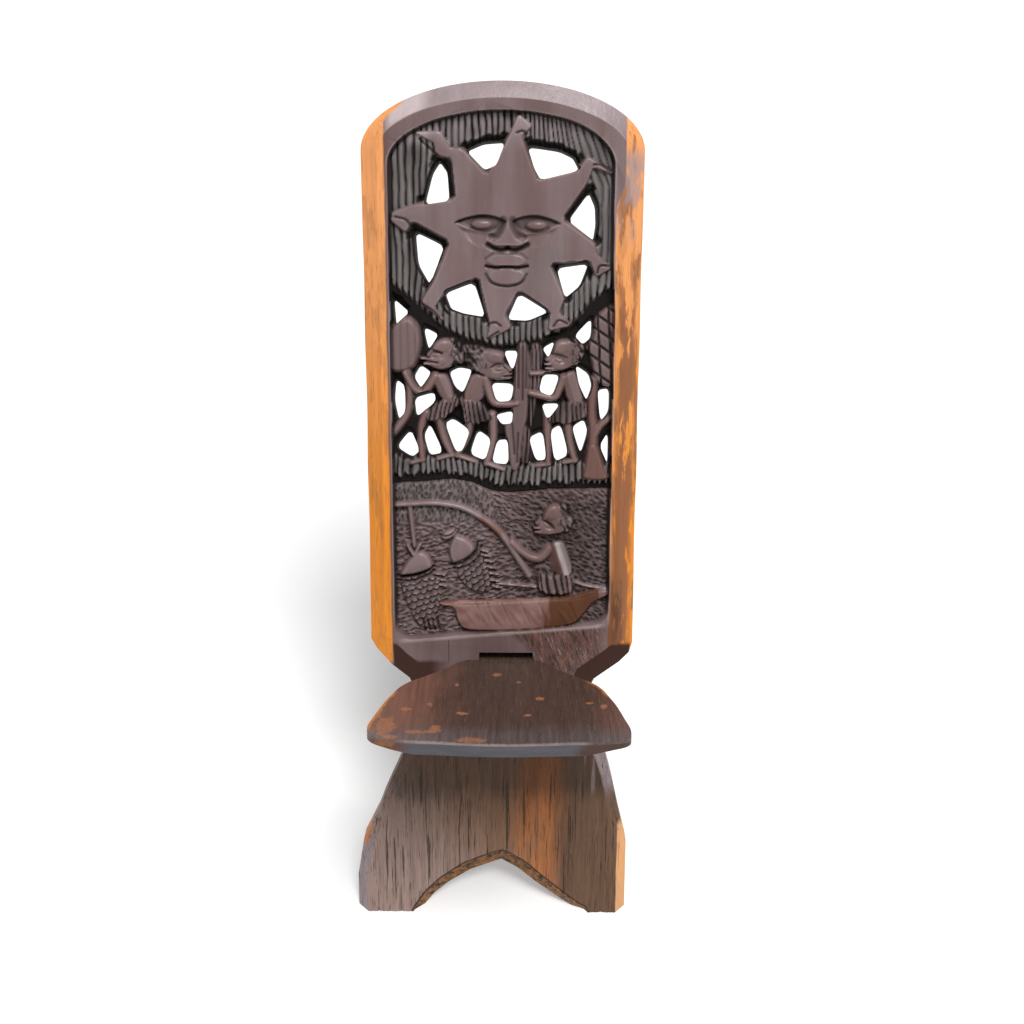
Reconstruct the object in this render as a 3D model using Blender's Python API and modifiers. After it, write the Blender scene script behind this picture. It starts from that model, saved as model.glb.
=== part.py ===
"""Birthing chair of two hewn planks.

A leaning back plank, carved and pierced, has a slot at its waist. The tongue of the seat plank
passes through the slot and runs down to the floor behind, so the two planks prop each other up.
All sizes are in metres, with +Z up and the front of the chair facing -Y.
"""
import math

import bmesh
import bpy
from mathutils import Matrix, Vector

# The two planks and how they cross
LEAN = math.radians(28.0)
PLANK_LENGTH = 1.040
PLANK_THICKNESS = 0.042
SEAT_HEIGHT = 0.350
FIT_GAP = 0.0003

# Outline of the back plank
PANEL_WIDTH = 0.325
CROWN_RISE = 0.078
PANEL_FOOT = 0.374
CORNER_DROP = 0.052
CORNER_RUN = 0.047
WAIST_INSET = 0.0565
WAIST_HEIGHT = 0.297
FOOT_WIDTH = 0.347
FOOT_SHIFT = -0.0125
ANKLE_HEIGHT = 0.100
LEFT_TOE = 0.081
RIGHT_TOE = 0.058
ARCH_RISE = 0.072
FRONT_CHAMFER_WIDTH = 0.019
FRONT_CHAMFER_DEPTH = 0.011
BACK_CHAMFER = 0.004

# Sunk carved field
RIM_SIDE = 0.0315
RIM_TOP = 0.032
FIELD_FOOT = 0.383
FIELD_CROWN = 0.060
FIELD_CORNER = 0.020
FIELD_DEPTH = 0.012

# Rise of the carving above the floor of the field
HALO_RISE = 0.0040
GROUND_RISE = 0.0050
STAR_RISE = 0.0070
FACE_RISE = 0.0110
TREE_RISE = 0.0060
BODY_RISE = 0.0085
LIMB_RISE = 0.0065
LAKE_RISE = 0.0068
ROD_RISE = 0.0055
LINE_RISE = 0.0042
EMBED = 0.004
SLOPED_EDGE = 0.0016
STEP = 0.0004

# Seat plank
SEAT_WIDTH = 0.289
SEAT_DEPTH = 0.255
SHOULDER_WIDTH = 0.100
SEAT_EDGE = 0.015
SHOULDER_FLAT = 0.030
TONGUE_WIDTH = 0.067
TONGUE_THICKNESS = 0.034
TONGUE_SHIFT = 0.006
SEAT_ROUNDING = 0.0025

# Slot for the tongue
SLOT_SIDE_PLAY = 0.0012
SLOT_HEADROOM = 0.009

CURVE_STEPS = 4
OVERCUT = 0.020

# The carving is drawn in millimetres on a sheet of this size, and the sheet is fitted to the field
SHEET_WIDTH = 262.0
SHEET_FOOT = 383.0
SHEET_HEIGHT = 625.0

FIELD_WIDTH = PANEL_WIDTH - 2 * RIM_SIDE
FIELD_TOP = PLANK_LENGTH - RIM_TOP
FIELD_FLOOR = -FIELD_DEPTH

# Flat raised forms: name, rise, width of the sloped edge, then the corners of the outline
FLATS = (
    ("halo", HALO_RISE, 0.0, (
        (-136, 815), (-112, 803), (-92, 780), (-60, 757), (-20, 743), (20, 743), (60, 755), (92, 778),
        (112, 803), (136, 815), (136, 948), (118, 982), (80, 1004), (40, 1013), (-5, 1012), (-60, 1000),
        (-104, 984), (-136, 955))),
    ("star", STAR_RISE, SLOPED_EDGE, (
        (-18, 935), (1, 967), (10, 984), (18, 1003), (33, 991), (22, 979), (32, 958), (42, 930),
        (86, 941), (97, 957), (127, 938), (103, 946), (99, 924), (72, 886), (106, 860), (109, 847),
        (127, 832), (109, 822), (102, 838), (58, 835), (74, 797), (66, 780), (80, 765), (53, 759),
        (54, 780), (20, 804), (6, 774), (10, 762), (-18, 748), (-14, 766), (-24, 778), (-31, 820),
        (-68, 801), (-76, 785), (-69, 770), (-95, 791), (-80, 816), (-63, 860), (-104, 883), (-112, 872),
        (-128, 885), (-127, 893), (-105, 902), (-53, 908), (-58, 955), (-76, 959), (-78, 972),
        (-100, 983), (-71, 984), (-60, 966), (-46, 965))),
    ("ground", GROUND_RISE, 0.0, (
        (-136, 612), (-106, 603), (-62, 607), (-36, 604), (-4, 594), (46, 599), (88, 603), (136, 602),
        (136, 576), (70, 575), (20, 569), (-6, 573), (-60, 589), (-104, 584), (-136, 580))),
    ("left_crown", TREE_RISE + STEP, 0.0, (
        (-136, 712), (-136, 758), (-113, 777), (-97, 766), (-94, 742), (-99, 719), (-112, 708))),
    ("right_crown", TREE_RISE + STEP, 0.0, (
        (108, 776), (136, 796), (136, 694), (118, 693), (107, 702), (103, 728), (96, 738), (106, 752))),
    ("post", LIMB_RISE - STEP, 0.0, (
        (14, 744), (34, 744), (32, 655), (27, 640), (22, 590), (9, 590), (6, 620), (2, 644), (12, 660))),
    ("left_skirt", BODY_RISE - 2 * STEP, 0.0, (
        (-94, 653), (-79, 673), (-54, 682), (-49, 670), (-64, 656), (-80, 648))),
    ("middle_skirt", BODY_RISE - 3 * STEP, 0.0, (
        (-52, 684), (-28, 674), (-10, 652), (-24, 646), (-44, 648), (-50, 668))),
    ("right_skirt", BODY_RISE - 2 * STEP, 0.0, (
        (62, 674), (98, 678), (103, 656), (84, 646), (50, 650))),
    ("tree_root", TREE_RISE + 2 * STEP, 0.0, ((100, 622), (115, 622), (132, 578), (94, 578))),
    ("left_head", BODY_RISE - STEP, SLOPED_EDGE, (
        (-78, 749), (-85, 742), (-84, 735), (-91, 731), (-98, 726), (-92, 722), (-95, 718), (-84, 712),
        (-70, 708), (-52, 720), (-46, 735), (-53, 748), (-66, 752))),
    ("middle_head", BODY_RISE - 2 * STEP, SLOPED_EDGE, (
        (-2, 739), (3, 728), (8, 721), (14, 712), (8, 708), (13, 703), (2, 699), (-18, 700), (-36, 711),
        (-43, 725), (-37, 740), (-20, 744))),
    ("right_head", BODY_RISE - STEP, SLOPED_EDGE, (
        (64, 749), (58, 742), (59, 734), (53, 728), (46, 722), (52, 717), (48, 712), (60, 707), (78, 708),
        (94, 721), (98, 735), (90, 747), (78, 751))),
    ("fisher_head", BODY_RISE - STEP, SLOPED_EDGE, (
        (54, 546), (48, 537), (48, 532), (42, 527), (35, 521), (42, 516), (37, 511), (52, 504), (66, 506),
        (80, 514), (86, 528), (80, 543), (67, 550))),
    ("boat", LAKE_RISE, SLOPED_EDGE, (
        (-79, 425), (-76, 417), (-60, 416), (-56, 400), (-47, 388), (60, 389), (92, 393), (104, 411),
        (113, 424), (131, 433), (131, 443), (110, 441), (92, 433), (50, 430), (0, 427))),
    ("loincloth", LAKE_RISE + STEP, 0.0, ((42, 460), (86, 464), (90, 447), (74, 434), (46, 436))),
    ("left_fish_head", LAKE_RISE - STEP, SLOPED_EDGE, (
        (-128, 458), (-118, 471), (-104, 487), (-97, 491), (-90, 479), (-89, 468), (-104, 459))),
    ("right_fish_head", LAKE_RISE - STEP, SLOPED_EDGE, (
        (-78, 512), (-68, 514), (-58, 517), (-54, 511), (-34, 499), (-39, 487), (-51, 480), (-64, 479),
        (-65, 500))),
    ("left_fish", LAKE_RISE - 4 * STEP, 0.0, (
        (-127, 452), (-106, 456), (-88, 466), (-80, 432), (-80, 412), (-91, 398), (-76, 386),
        (-101, 386), (-112, 410), (-124, 434))),
    ("right_fish", LAKE_RISE - 4 * STEP, 0.0, (
        (-63, 476), (-51, 477), (-36, 485), (-20, 493), (-2, 452), (-22, 438), (-46, 440), (-58, 459))),
)
# Limbs, stems and rods: half thickness, rise, then the points of the middle line
STEMS = (
    (9.0, BODY_RISE, ((-70, 720), (-63, 696), (-60, 672))),
    (5.0, LIMB_RISE, ((-75, 706), (-93, 684), (-111, 697), (-116, 712))),
    (6.0, LIMB_RISE, ((-90, 657), (-97, 640), (-96, 603))),
    (6.0, LIMB_RISE, ((-78, 655), (-70, 630), (-61, 609))),
    (9.0, BODY_RISE, ((-25, 716), (-31, 692), (-44, 674))),
    (5.0, LIMB_RISE, ((-22, 702), (-14, 671), (18, 670))),
    (6.0, LIMB_RISE, ((-35, 655), (-43, 630), (-53, 609))),
    (6.0, LIMB_RISE, ((-10, 655), (-11, 628), (-19, 599))),
    (9.0, BODY_RISE, ((75, 718), (83, 692), (90, 668))),
    (5.0, LIMB_RISE, ((72, 704), (64, 680), (34, 684))),
    (6.0, LIMB_RISE, ((54, 656), (54, 630), (54, 599))),
    (6.0, LIMB_RISE, ((76, 656), (80, 630), (87, 602))),
    (4.0, LIMB_RISE, ((-94, 602), (-109, 599))),
    (4.0, LIMB_RISE, ((-60, 609), (-77, 604))),
    (4.0, LIMB_RISE, ((-52, 608), (-33, 601))),
    (4.0, LIMB_RISE, ((-18, 598), (2, 591))),
    (4.0, LIMB_RISE, ((56, 596), (41, 596))),
    (6.0, TREE_RISE, ((-112, 712), (-110, 682), (-115, 656), (-134, 632))),
    (7.0, TREE_RISE, ((109, 698), (106, 664), (109, 640), (108, 612))),
    (6.0, TREE_RISE, ((109, 638), (133, 657))),
    (12.0, BODY_RISE, ((63, 514), (69, 490), (75, 462))),
    (6.0, LIMB_RISE, ((62, 500), (50, 480), (36, 481), (14, 503))),
    (4.0, ROD_RISE, ((-136, 546), (-108, 548), (-80, 549), (-50, 544), (-25, 531), (-4, 514), (12, 492),
                     (32, 459))),
    (4.5, ROD_RISE, ((-113, 545), (-110, 497))),
    (3.0, LINE_RISE, ((-118, 500), (-110, 486), (-102, 501))),
    (3.0, LINE_RISE, ((-2, 447), (42, 443))),
    (3.0, LINE_RISE, ((86, 452), (104, 445), (133, 441))),
    (6.0, FACE_RISE - 2 * STEP, ((6, 892), (6, 863))),
    (3.5, FACE_RISE - 4 * STEP, ((-54, 885), (-22, 894), (4, 889))),
    (3.5, FACE_RISE - 4 * STEP, ((9, 889), (38, 893), (63, 884))),
)
# Rounded forms: middle, half width, half height, rise
ROUNDS = (
    ((-66, 734), 16, 14, BODY_RISE + 3 * STEP), ((-19, 724), 18, 15, BODY_RISE + 3 * STEP),
    ((77, 733), 17, 14, BODY_RISE + 3 * STEP), ((66, 530), 16, 15, BODY_RISE + 3 * STEP),
    ((-25, 881), 18, 8, FACE_RISE - 5 * STEP), ((39, 880), 18, 8, FACE_RISE - 5 * STEP),
    ((6, 863), 23, 10, FACE_RISE), ((4, 841), 31, 8, FACE_RISE - 3 * STEP),
    ((4, 821), 28, 9, FACE_RISE - 3 * STEP),
)
PIERCINGS = (
    ((-39, 961), (-22, 968), (0, 970), (-9, 948), (-21, 943)),
    ((31, 965), (65, 960), (80, 953), (86, 942), (45, 932), (38, 944)),
    ((79, 885), (100, 914), (106, 900), (107, 880), (105, 864)),
    ((66, 830), (99, 835), (90, 812), (75, 799)),
    ((20, 800), (8, 773), (30, 772), (52, 781)),
    ((-36, 813), (-23, 776), (-46, 780), (-60, 785), (-66, 801)),
    ((-101, 870), (-71, 855), (-83, 822), (-87, 815), (-98, 835)),
    ((-73, 948), (-64, 938), (-61, 908), (-89, 904), (-80, 937)),
    ((-128, 793), (-113, 779), (-126, 766)),
    ((-93, 761), (-78, 753), (-88, 737)),
    ((-98, 716), (-87, 708), (-98, 692), (-105, 704)),
    ((-127, 699), (-119, 692), (-118, 662), (-125, 654), (-129, 676)),
    ((-105, 678), (-84, 684), (-82, 674), (-103, 657)),
    ((-63, 712), (-52, 718), (-37, 714), (-48, 687), (-56, 693)),
    ((3, 734), (17, 734), (12, 713)),
    ((-12, 696), (12, 695), (9, 677), (-6, 676)),
    ((-6, 658), (11, 662), (10, 650), (0, 649)),
    ((50, 738), (61, 745), (55, 729)),
    ((50, 706), (67, 706), (59, 683), (46, 688)),
    ((49, 671), (68, 672), (55, 655)),
    ((89, 717), (102, 708), (106, 694), (101, 678), (93, 696)),
    ((88, 753), (105, 772), (104, 752), (96, 745)),
    ((116, 688), (127, 690), (127, 664), (119, 653)),
    ((-112, 639), (-102, 615), (-110, 609), (-127, 620)),
    ((-88, 646), (-74, 614), (-88, 611), (-94, 634)),
    ((-59, 654), (-41, 646), (-49, 617), (-56, 615), (-68, 648)),
    ((-29, 640), (-15, 635), (-22, 605), (-38, 612)),
    ((-5, 627), (5, 628), (6, 600), (-11, 602)),
    ((34, 631), (48, 638), (52, 606), (42, 605)),
    ((60, 640), (70, 646), (79, 611), (65, 604)),
    ((86, 644), (98, 652), (102, 640), (95, 613)),
    ((128, 637), (120, 621), (128, 599)),
)
# Outlines of the two sides of the seat, as shares of its depth and of half its width
SEAT_LEFT = (
    (0.085, 0.44), (0.20, 0.62), (0.31, 0.785), (0.47, 0.885), (0.70, 0.972), (0.84, 1.0), (0.90, 0.97),
    (0.94, 0.87), (0.98, 0.43),
)
SEAT_RIGHT = (
    (0.085, 0.44), (0.20, 0.62), (0.31, 0.785), (0.47, 0.885), (0.70, 0.965), (0.88, 1.0), (0.94, 0.97),
    (0.96, 0.86), (0.985, 0.43),
)
# Outlines of the two sides of the arch, from the floor to the top, as shares of its half span and rise
ARCH_LEFT = ((1.0, 0.0), (0.84, 0.30), (0.66, 0.53), (0.38, 0.79))
ARCH_RIGHT = ((0.20, 0.86), (0.44, 0.58), (0.68, 0.33), (0.90, 0.10), (1.0, 0.0))


def on_sheet(point):
    """Place a point of the carving sheet on the back plank."""
    across = point[0] * FIELD_WIDTH / SHEET_WIDTH
    up = FIELD_FOOT + (point[1] - SHEET_FOOT) * (FIELD_TOP - FIELD_FOOT) / SHEET_HEIGHT
    return across, up


def group(name, parent):
    made = bpy.data.collections.new(name)
    parent.children.link(made)
    return made


def empty(name, parent, location, turn):
    made = bpy.data.objects.new(name, None)
    made.empty_display_size = 0.05
    made.location = location
    made.rotation_euler = (turn, 0.0, 0.0)
    made.parent = parent
    CHAIR.objects.link(made)
    return made


def as_mesh_object(name, curve, where, parent):
    """Turn a curve into a welded mesh object."""
    drawn = bpy.data.objects.new(name + "_outline", curve)
    where.objects.link(drawn)
    bpy.context.view_layer.update()
    mesh = bpy.data.meshes.new_from_object(drawn.evaluated_get(bpy.context.evaluated_depsgraph_get()))
    bpy.data.objects.remove(drawn)
    bpy.data.curves.remove(curve)
    mesh.name = name
    mesh.materials.clear()
    mesh.shade_flat()
    work = bmesh.new()
    work.from_mesh(mesh)
    bmesh.ops.remove_doubles(work, verts=work.verts, dist=1e-6)
    bmesh.ops.recalc_face_normals(work, faces=work.faces)
    work.to_mesh(mesh)
    work.free()
    return as_object(name, mesh, where, parent)


def as_object(name, mesh, where, parent):
    made = bpy.data.objects.new(name, mesh)
    made.parent = parent
    where.objects.link(made)
    return made


def slab(name, points, low, high, where, parent):
    """Flat solid between two levels. A point marked True is rounded, others are corners."""
    curve = bpy.data.curves.new(name, "CURVE")
    curve.dimensions = "2D"
    curve.fill_mode = "BOTH"
    curve.extrude = (high - low) / 2
    curve.resolution_u = CURVE_STEPS
    spline = curve.splines.new("BEZIER")
    spline.bezier_points.add(len(points) - 1)
    for knot, point in zip(spline.bezier_points, points):
        knot.co = (point[0], point[1], 0.0)
        kind = "AUTO" if len(point) > 2 and point[2] else "VECTOR"
        knot.handle_left_type = kind
        knot.handle_right_type = kind
    spline.use_cyclic_u = True
    made = as_mesh_object(name, curve, where, parent)
    made.data.transform(Matrix.Translation((0.0, 0.0, (high + low) / 2)))
    return made


def plate(name, points, low, high, where, parent, edge=0.0):
    """Flat solid with straight sides between its points, and a sloped edge if asked."""
    curve = bpy.data.curves.new(name, "CURVE")
    curve.dimensions = "2D"
    curve.fill_mode = "BOTH"
    curve.extrude = (high - low) / 2 - edge
    curve.bevel_depth = edge
    curve.bevel_resolution = 0
    curve.offset = -edge
    spline = curve.splines.new("POLY")
    spline.points.add(len(points) - 1)
    for knot, point in zip(spline.points, points):
        knot.co = (point[0], point[1], 0.0, 1.0)
    spline.use_cyclic_u = True
    made = as_mesh_object(name, curve, where, parent)
    made.data.transform(Matrix.Translation((0.0, 0.0, (high + low) / 2)))
    return made


def stem(name, points, radius, level, where, parent):
    """Round bar along a line of points."""
    curve = bpy.data.curves.new(name, "CURVE")
    curve.dimensions = "3D"
    curve.bevel_depth = radius
    curve.bevel_resolution = 1
    curve.use_fill_caps = True
    spline = curve.splines.new("POLY")
    spline.points.add(len(points) - 1)
    for knot, point in zip(spline.points, points):
        knot.co = (point[0], point[1], level, 1.0)
    return as_mesh_object(name, curve, where, parent)


def ball(name, centre, radii, where, parent):
    mesh = bpy.data.meshes.new(name)
    work = bmesh.new()
    place = Matrix.Translation(centre) @ Matrix.Diagonal((*radii, 1.0))
    bmesh.ops.create_uvsphere(work, u_segments=12, v_segments=8, radius=1.0, matrix=place)
    work.to_mesh(mesh)
    work.free()
    return as_object(name, mesh, where, parent)


def block(name, low, high, where, parent):
    mesh = bpy.data.meshes.new(name)
    work = bmesh.new()
    middle = (Vector(low) + Vector(high)) / 2
    place = Matrix.Translation(middle) @ Matrix.Diagonal((*(Vector(high) - Vector(low)), 1.0))
    bmesh.ops.create_cube(work, size=1.0, matrix=place)
    work.to_mesh(mesh)
    work.free()
    return as_object(name, mesh, where, parent)


def combine(target, name, operation, tool):
    step = target.modifiers.new(name, "BOOLEAN")
    step.operation = operation
    step.solver = "EXACT"
    if isinstance(tool, bpy.types.Collection):
        step.operand_type = "COLLECTION"
        step.collection = tool
    else:
        step.object = tool
    return step


def hide(where):
    for tool in where.all_objects:
        tool.hide_render = True
        tool.display_type = "WIRE"


def wood(name, colour, roughness):
    made = bpy.data.materials.new(name)
    made.use_nodes = True
    shader = made.node_tree.nodes["Principled BSDF"]
    shader.inputs["Base Color"].default_value = (*colour, 1.0)
    shader.inputs["Roughness"].default_value = roughness
    return made


def arch_top(half, spring, rise, steps):
    """Points of a half ellipse from its right end over the top to its left end."""
    turns = [math.pi * step / steps for step in range(steps + 1)]
    return [(half * math.cos(turn), spring + rise * math.sin(turn)) for turn in turns]


def plank_outline():
    side = PANEL_WIDTH / 2
    waist = side - WAIST_INSET
    right = FOOT_SHIFT + FOOT_WIDTH / 2
    left = FOOT_SHIFT - FOOT_WIDTH / 2
    arch_left = left + LEFT_TOE
    arch_right = right - RIGHT_TOE
    sole = -2 * OVERCUT
    low_corner = PANEL_FOOT - CORNER_DROP
    points = arch_top(side, PLANK_LENGTH - CROWN_RISE, CROWN_RISE, 20)
    points += [(-side, PANEL_FOOT), (-side + CORNER_RUN * 0.16, PANEL_FOOT - CORNER_DROP * 0.26)]
    points += [(-side + CORNER_RUN, low_corner, False), (-waist, WAIST_HEIGHT, True)]
    points += [(left * 0.85, ANKLE_HEIGHT * 1.4), (left * 0.955, ANKLE_HEIGHT), (left, ANKLE_HEIGHT * 0.5)]
    points += [(left, sole), (arch_left, sole)]
    points += [(arch_left * wide, ARCH_RISE * high) for wide, high in ARCH_LEFT]
    points += [(0.0, ARCH_RISE)]
    points += [(arch_right * wide, ARCH_RISE * high) for wide, high in ARCH_RIGHT]
    points += [(arch_right, sole), (right, sole), (right, ANKLE_HEIGHT * 0.6)]
    points += [(right, ANKLE_HEIGHT), (right * 0.945, ANKLE_HEIGHT * 1.35), (waist, WAIST_HEIGHT, True)]
    points += [(side - CORNER_RUN, low_corner, False)]
    points += [(side - CORNER_RUN * 0.16, PANEL_FOOT - CORNER_DROP * 0.26), (side, PANEL_FOOT)]
    return points


def chamfer_face(mesh, upward, width, depth):
    """Raise the face on one side of a slab, drawing its edge in all round."""
    work = bmesh.new()
    work.from_mesh(mesh)
    work.normal_update()
    faces = [face for face in work.faces if face.normal.z * upward > 0.99]
    whole = bmesh.ops.dissolve_faces(work, faces=faces)["region"]
    bmesh.ops.inset_region(work, faces=whole, thickness=width, depth=depth, use_even_offset=True)
    work.to_mesh(mesh)
    work.free()


def back_plank(frame):
    plank = slab("back_plank", plank_outline(), BACK_CHAMFER - PLANK_THICKNESS, -FRONT_CHAMFER_DEPTH,
                 CHAIR, frame)
    chamfer_face(plank.data, 1, FRONT_CHAMFER_WIDTH, FRONT_CHAMFER_DEPTH)
    chamfer_face(plank.data, -1, BACK_CHAMFER, BACK_CHAMFER)
    return plank


def field_outline():
    half = FIELD_WIDTH / 2
    points = arch_top(half, FIELD_TOP - FIELD_CROWN, FIELD_CROWN, 20)
    for turn in (0, 30, 60, 90):
        angle = math.radians(turn)
        points.append((-half + FIELD_CORNER * (1 - math.cos(angle)),
                       FIELD_FOOT + FIELD_CORNER * (1 - math.sin(angle))))
    for turn in (90, 60, 30, 0):
        angle = math.radians(turn)
        points.append((half - FIELD_CORNER * (1 - math.cos(angle)),
                       FIELD_FOOT + FIELD_CORNER * (1 - math.sin(angle))))
    return points


def carve(plank, frame, tools):
    """Sink the field, raise the carving in it and pierce it."""
    field = plate("field", field_outline(), FIELD_FLOOR, OVERCUT, tools, frame)
    raised = group("raised_carving", tools)
    pierced = group("piercings", tools)
    for name, rise, edge, points in FLATS:
        plate(name, [on_sheet(point) for point in points], FIELD_FLOOR - EMBED, FIELD_FLOOR + rise,
              raised, frame, edge)
    scale = FIELD_WIDTH / SHEET_WIDTH
    for index, (radius, rise, points) in enumerate(STEMS):
        stem("stem_%d" % index, [on_sheet(point) for point in points], radius * scale,
             FIELD_FLOOR + rise - radius * scale, raised, frame)
    for index, (centre, wide, high, rise) in enumerate(ROUNDS):
        ball("round_%d" % index, (*on_sheet(centre), FIELD_FLOOR), (wide * scale, high * scale, rise),
             raised, frame)
    for index, points in enumerate(PIERCINGS):
        plate("piercing_%d" % index, [on_sheet(point) for point in points],
              -PLANK_THICKNESS - OVERCUT, OVERCUT, pierced, frame)
    combine(plank, "sink_field", "DIFFERENCE", field)
    combine(plank, "raise_carving", "UNION", raised)
    combine(plank, "pierce", "DIFFERENCE", pierced)


def cut_slot(plank, frame, tools):
    half = TONGUE_WIDTH / 2 + SLOT_SIDE_PLAY
    bottom = SEAT_HEIGHT - TONGUE_THICKNESS - FIT_GAP
    slot = block("slot", (TONGUE_SHIFT - half, bottom, -PLANK_THICKNESS - OVERCUT),
                 (TONGUE_SHIFT + half, SEAT_HEIGHT + SLOT_HEADROOM, OVERCUT), tools, frame)
    combine(plank, "slot", "DIFFERENCE", slot)


def seat_outline():
    """Seat and tongue in one outline, with the tongue running back past the floor."""
    half = SEAT_WIDTH / 2
    shoulder = SHOULDER_WIDTH / 2
    tail = SEAT_HEIGHT / math.tan(LEAN) + 2 * OVERCUT
    right = [(shoulder, -FIT_GAP, False)]
    right += [(half * wide, -SEAT_DEPTH * deep, True) for deep, wide in SEAT_RIGHT]
    left = [(-half * wide, -SEAT_DEPTH * deep, True) for deep, wide in reversed(SEAT_LEFT)]
    left += [(-shoulder, -FIT_GAP, False)]
    tongue_right = TONGUE_SHIFT + TONGUE_WIDTH / 2
    tongue_left = TONGUE_SHIFT - TONGUE_WIDTH / 2
    points = [(tongue_right, tail, False), (tongue_right, -FIT_GAP, False)]
    points += right + [(0.0, -SEAT_DEPTH, True)] + left
    points += [(tongue_left, -FIT_GAP, False), (tongue_left, tail, False)]
    return points


def seat_plank(frame):
    seat = slab("seat_plank", seat_outline(), -TONGUE_THICKNESS, 0.0, CHAIR, frame)
    work = bmesh.new()
    work.from_mesh(seat.data)
    bmesh.ops.bisect_plane(work, geom=work.verts[:] + work.edges[:] + work.faces[:],
                           plane_co=(0.0, -SHOULDER_FLAT, 0.0), plane_no=(0.0, 1.0, 0.0))
    slope = (TONGUE_THICKNESS - SEAT_EDGE) / (SEAT_DEPTH - SHOULDER_FLAT)
    for vert in work.verts:
        if vert.co.z < -TONGUE_THICKNESS / 2 and vert.co.y < -SHOULDER_FLAT:
            vert.co.z += (-SHOULDER_FLAT - vert.co.y) * slope
    work.to_mesh(seat.data)
    work.free()
    edge = seat.modifiers.new("eased_edges", "BEVEL")
    edge.width = SEAT_ROUNDING
    edge.segments = 2
    edge.limit_method = "ANGLE"
    edge.angle_limit = math.radians(40.0)
    return seat


for old in list(bpy.data.objects):
    bpy.data.objects.remove(old, do_unlink=True)

CHAIR = group("birthing_chair", bpy.context.scene.collection)
TOOLS = group("birthing_chair_tools", bpy.context.scene.collection)

# The origin is under the middle of the chair's box
FRONT = (SEAT_HEIGHT - SEAT_EDGE) * math.sin(LEAN) - SEAT_DEPTH * math.cos(LEAN)
REAR = SEAT_HEIGHT / math.sin(LEAN)
LEFT = min(FOOT_SHIFT - FOOT_WIDTH / 2, -PANEL_WIDTH / 2)
RIGHT = max(FOOT_SHIFT + FOOT_WIDTH / 2, PANEL_WIDTH / 2)
ROOT = empty("chair_root", None, (-(LEFT + RIGHT) / 2, -(FRONT + REAR) / 2, 0.0), 0.0)
BACK_FRAME = empty("back_frame", ROOT, (0.0, 0.0, 0.0), math.pi / 2 - LEAN)
SEAT_AXIS = empty("seat_slide_axis", ROOT,
                  (0.0, SEAT_HEIGHT * math.sin(LEAN), SEAT_HEIGHT * math.cos(LEAN)), -LEAN)

BACK = back_plank(BACK_FRAME)
carve(BACK, BACK_FRAME, TOOLS)
cut_slot(BACK, BACK_FRAME, TOOLS)
SEAT = seat_plank(SEAT_AXIS)

FLOOR = block("floor", (-PLANK_LENGTH, -PLANK_LENGTH, -PLANK_LENGTH), (PLANK_LENGTH, 2 * PLANK_LENGTH, 0.0),
              TOOLS, ROOT)
combine(BACK, "stand_on_floor", "DIFFERENCE", FLOOR)
combine(SEAT, "stand_on_floor", "DIFFERENCE", FLOOR)

BACK.data.materials.append(wood("carved_heartwood", (0.105, 0.058, 0.050), 0.48))
SEAT.data.materials.append(wood("seat_heartwood", (0.070, 0.038, 0.026), 0.42))
hide(TOOLS)
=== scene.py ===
"""Looks of the birthing chair: a carved, pierced back plank and a worn seat plank of dark wood.

The carving is drawn as heights on a grid over the sunk field of the back plank. The grid becomes a
stamp that is pressed into a plank with the CAD outline, and the piercings are cut through it.
Shapes are drawn in millimetres on each plank: x across, s up the plank from the floor and n out of
its front face. For the seat, y runs back along the tongue and z up from the top face.
"""

import math
from contextlib import contextmanager

import bmesh
import bpy
import numpy as np
from mathutils import Matrix, Vector


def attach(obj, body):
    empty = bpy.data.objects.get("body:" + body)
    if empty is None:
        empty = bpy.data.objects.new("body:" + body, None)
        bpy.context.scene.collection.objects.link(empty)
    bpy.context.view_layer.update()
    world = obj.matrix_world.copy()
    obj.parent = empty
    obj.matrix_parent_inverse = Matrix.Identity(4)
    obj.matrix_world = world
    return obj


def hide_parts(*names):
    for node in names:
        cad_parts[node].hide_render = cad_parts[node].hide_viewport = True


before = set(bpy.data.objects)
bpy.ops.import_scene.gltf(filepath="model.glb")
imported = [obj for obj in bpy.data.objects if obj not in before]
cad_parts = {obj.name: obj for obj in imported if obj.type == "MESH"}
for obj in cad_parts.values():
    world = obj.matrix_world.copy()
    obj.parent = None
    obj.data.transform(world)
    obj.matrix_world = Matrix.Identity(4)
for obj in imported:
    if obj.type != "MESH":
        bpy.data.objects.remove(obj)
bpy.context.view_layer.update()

# How the planks stand, as in the CAD model
LEAN = math.radians(28.0)
MIDDLE = 11.75
FRONT_FOOT = -338.82
SEAT_HEIGHT = 350.0

# Back plank
LENGTH = 1040.0
THICKNESS = 42.0
HALF_PANEL = 162.5
CROWN_RISE = 78.0
PANEL_FOOT = 374.0
CORNER_DROP = 52.0
CORNER_RUN = 47.0
WAIST = 106.0
WAIST_HEIGHT = 297.0
FOOT_LEFT = -186.0
FOOT_RIGHT = 161.0
ANKLE = 100.0
ARCH_LEFT = -105.0
ARCH_RIGHT = 103.0
ARCH_RISE = 72.0
CHAMFER_WIDTH = 19.0
CHAMFER_DEPTH = 11.0
BACK_CHAMFER = 4.0
FOOT_TOP = 318.0
ADZE_WIDTH, ADZE_LENGTH = 34.0, 58.0
ARCH_LEFT_SIDE = ((1.0, 0.0), (0.84, 0.30), (0.66, 0.53), (0.38, 0.79))
ARCH_RIGHT_SIDE = ((0.20, 0.835), (0.44, 0.545), (0.68, 0.29), (0.90, 0.07), (1.0, 0.0))
SLOT_LEFT, SLOT_RIGHT = -27.9, 39.9
SLOT_FOOT, SLOT_TOP = 315.7, 360.0
SLOT_MIDDLE = (SLOT_LEFT + SLOT_RIGHT) / 2
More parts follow.
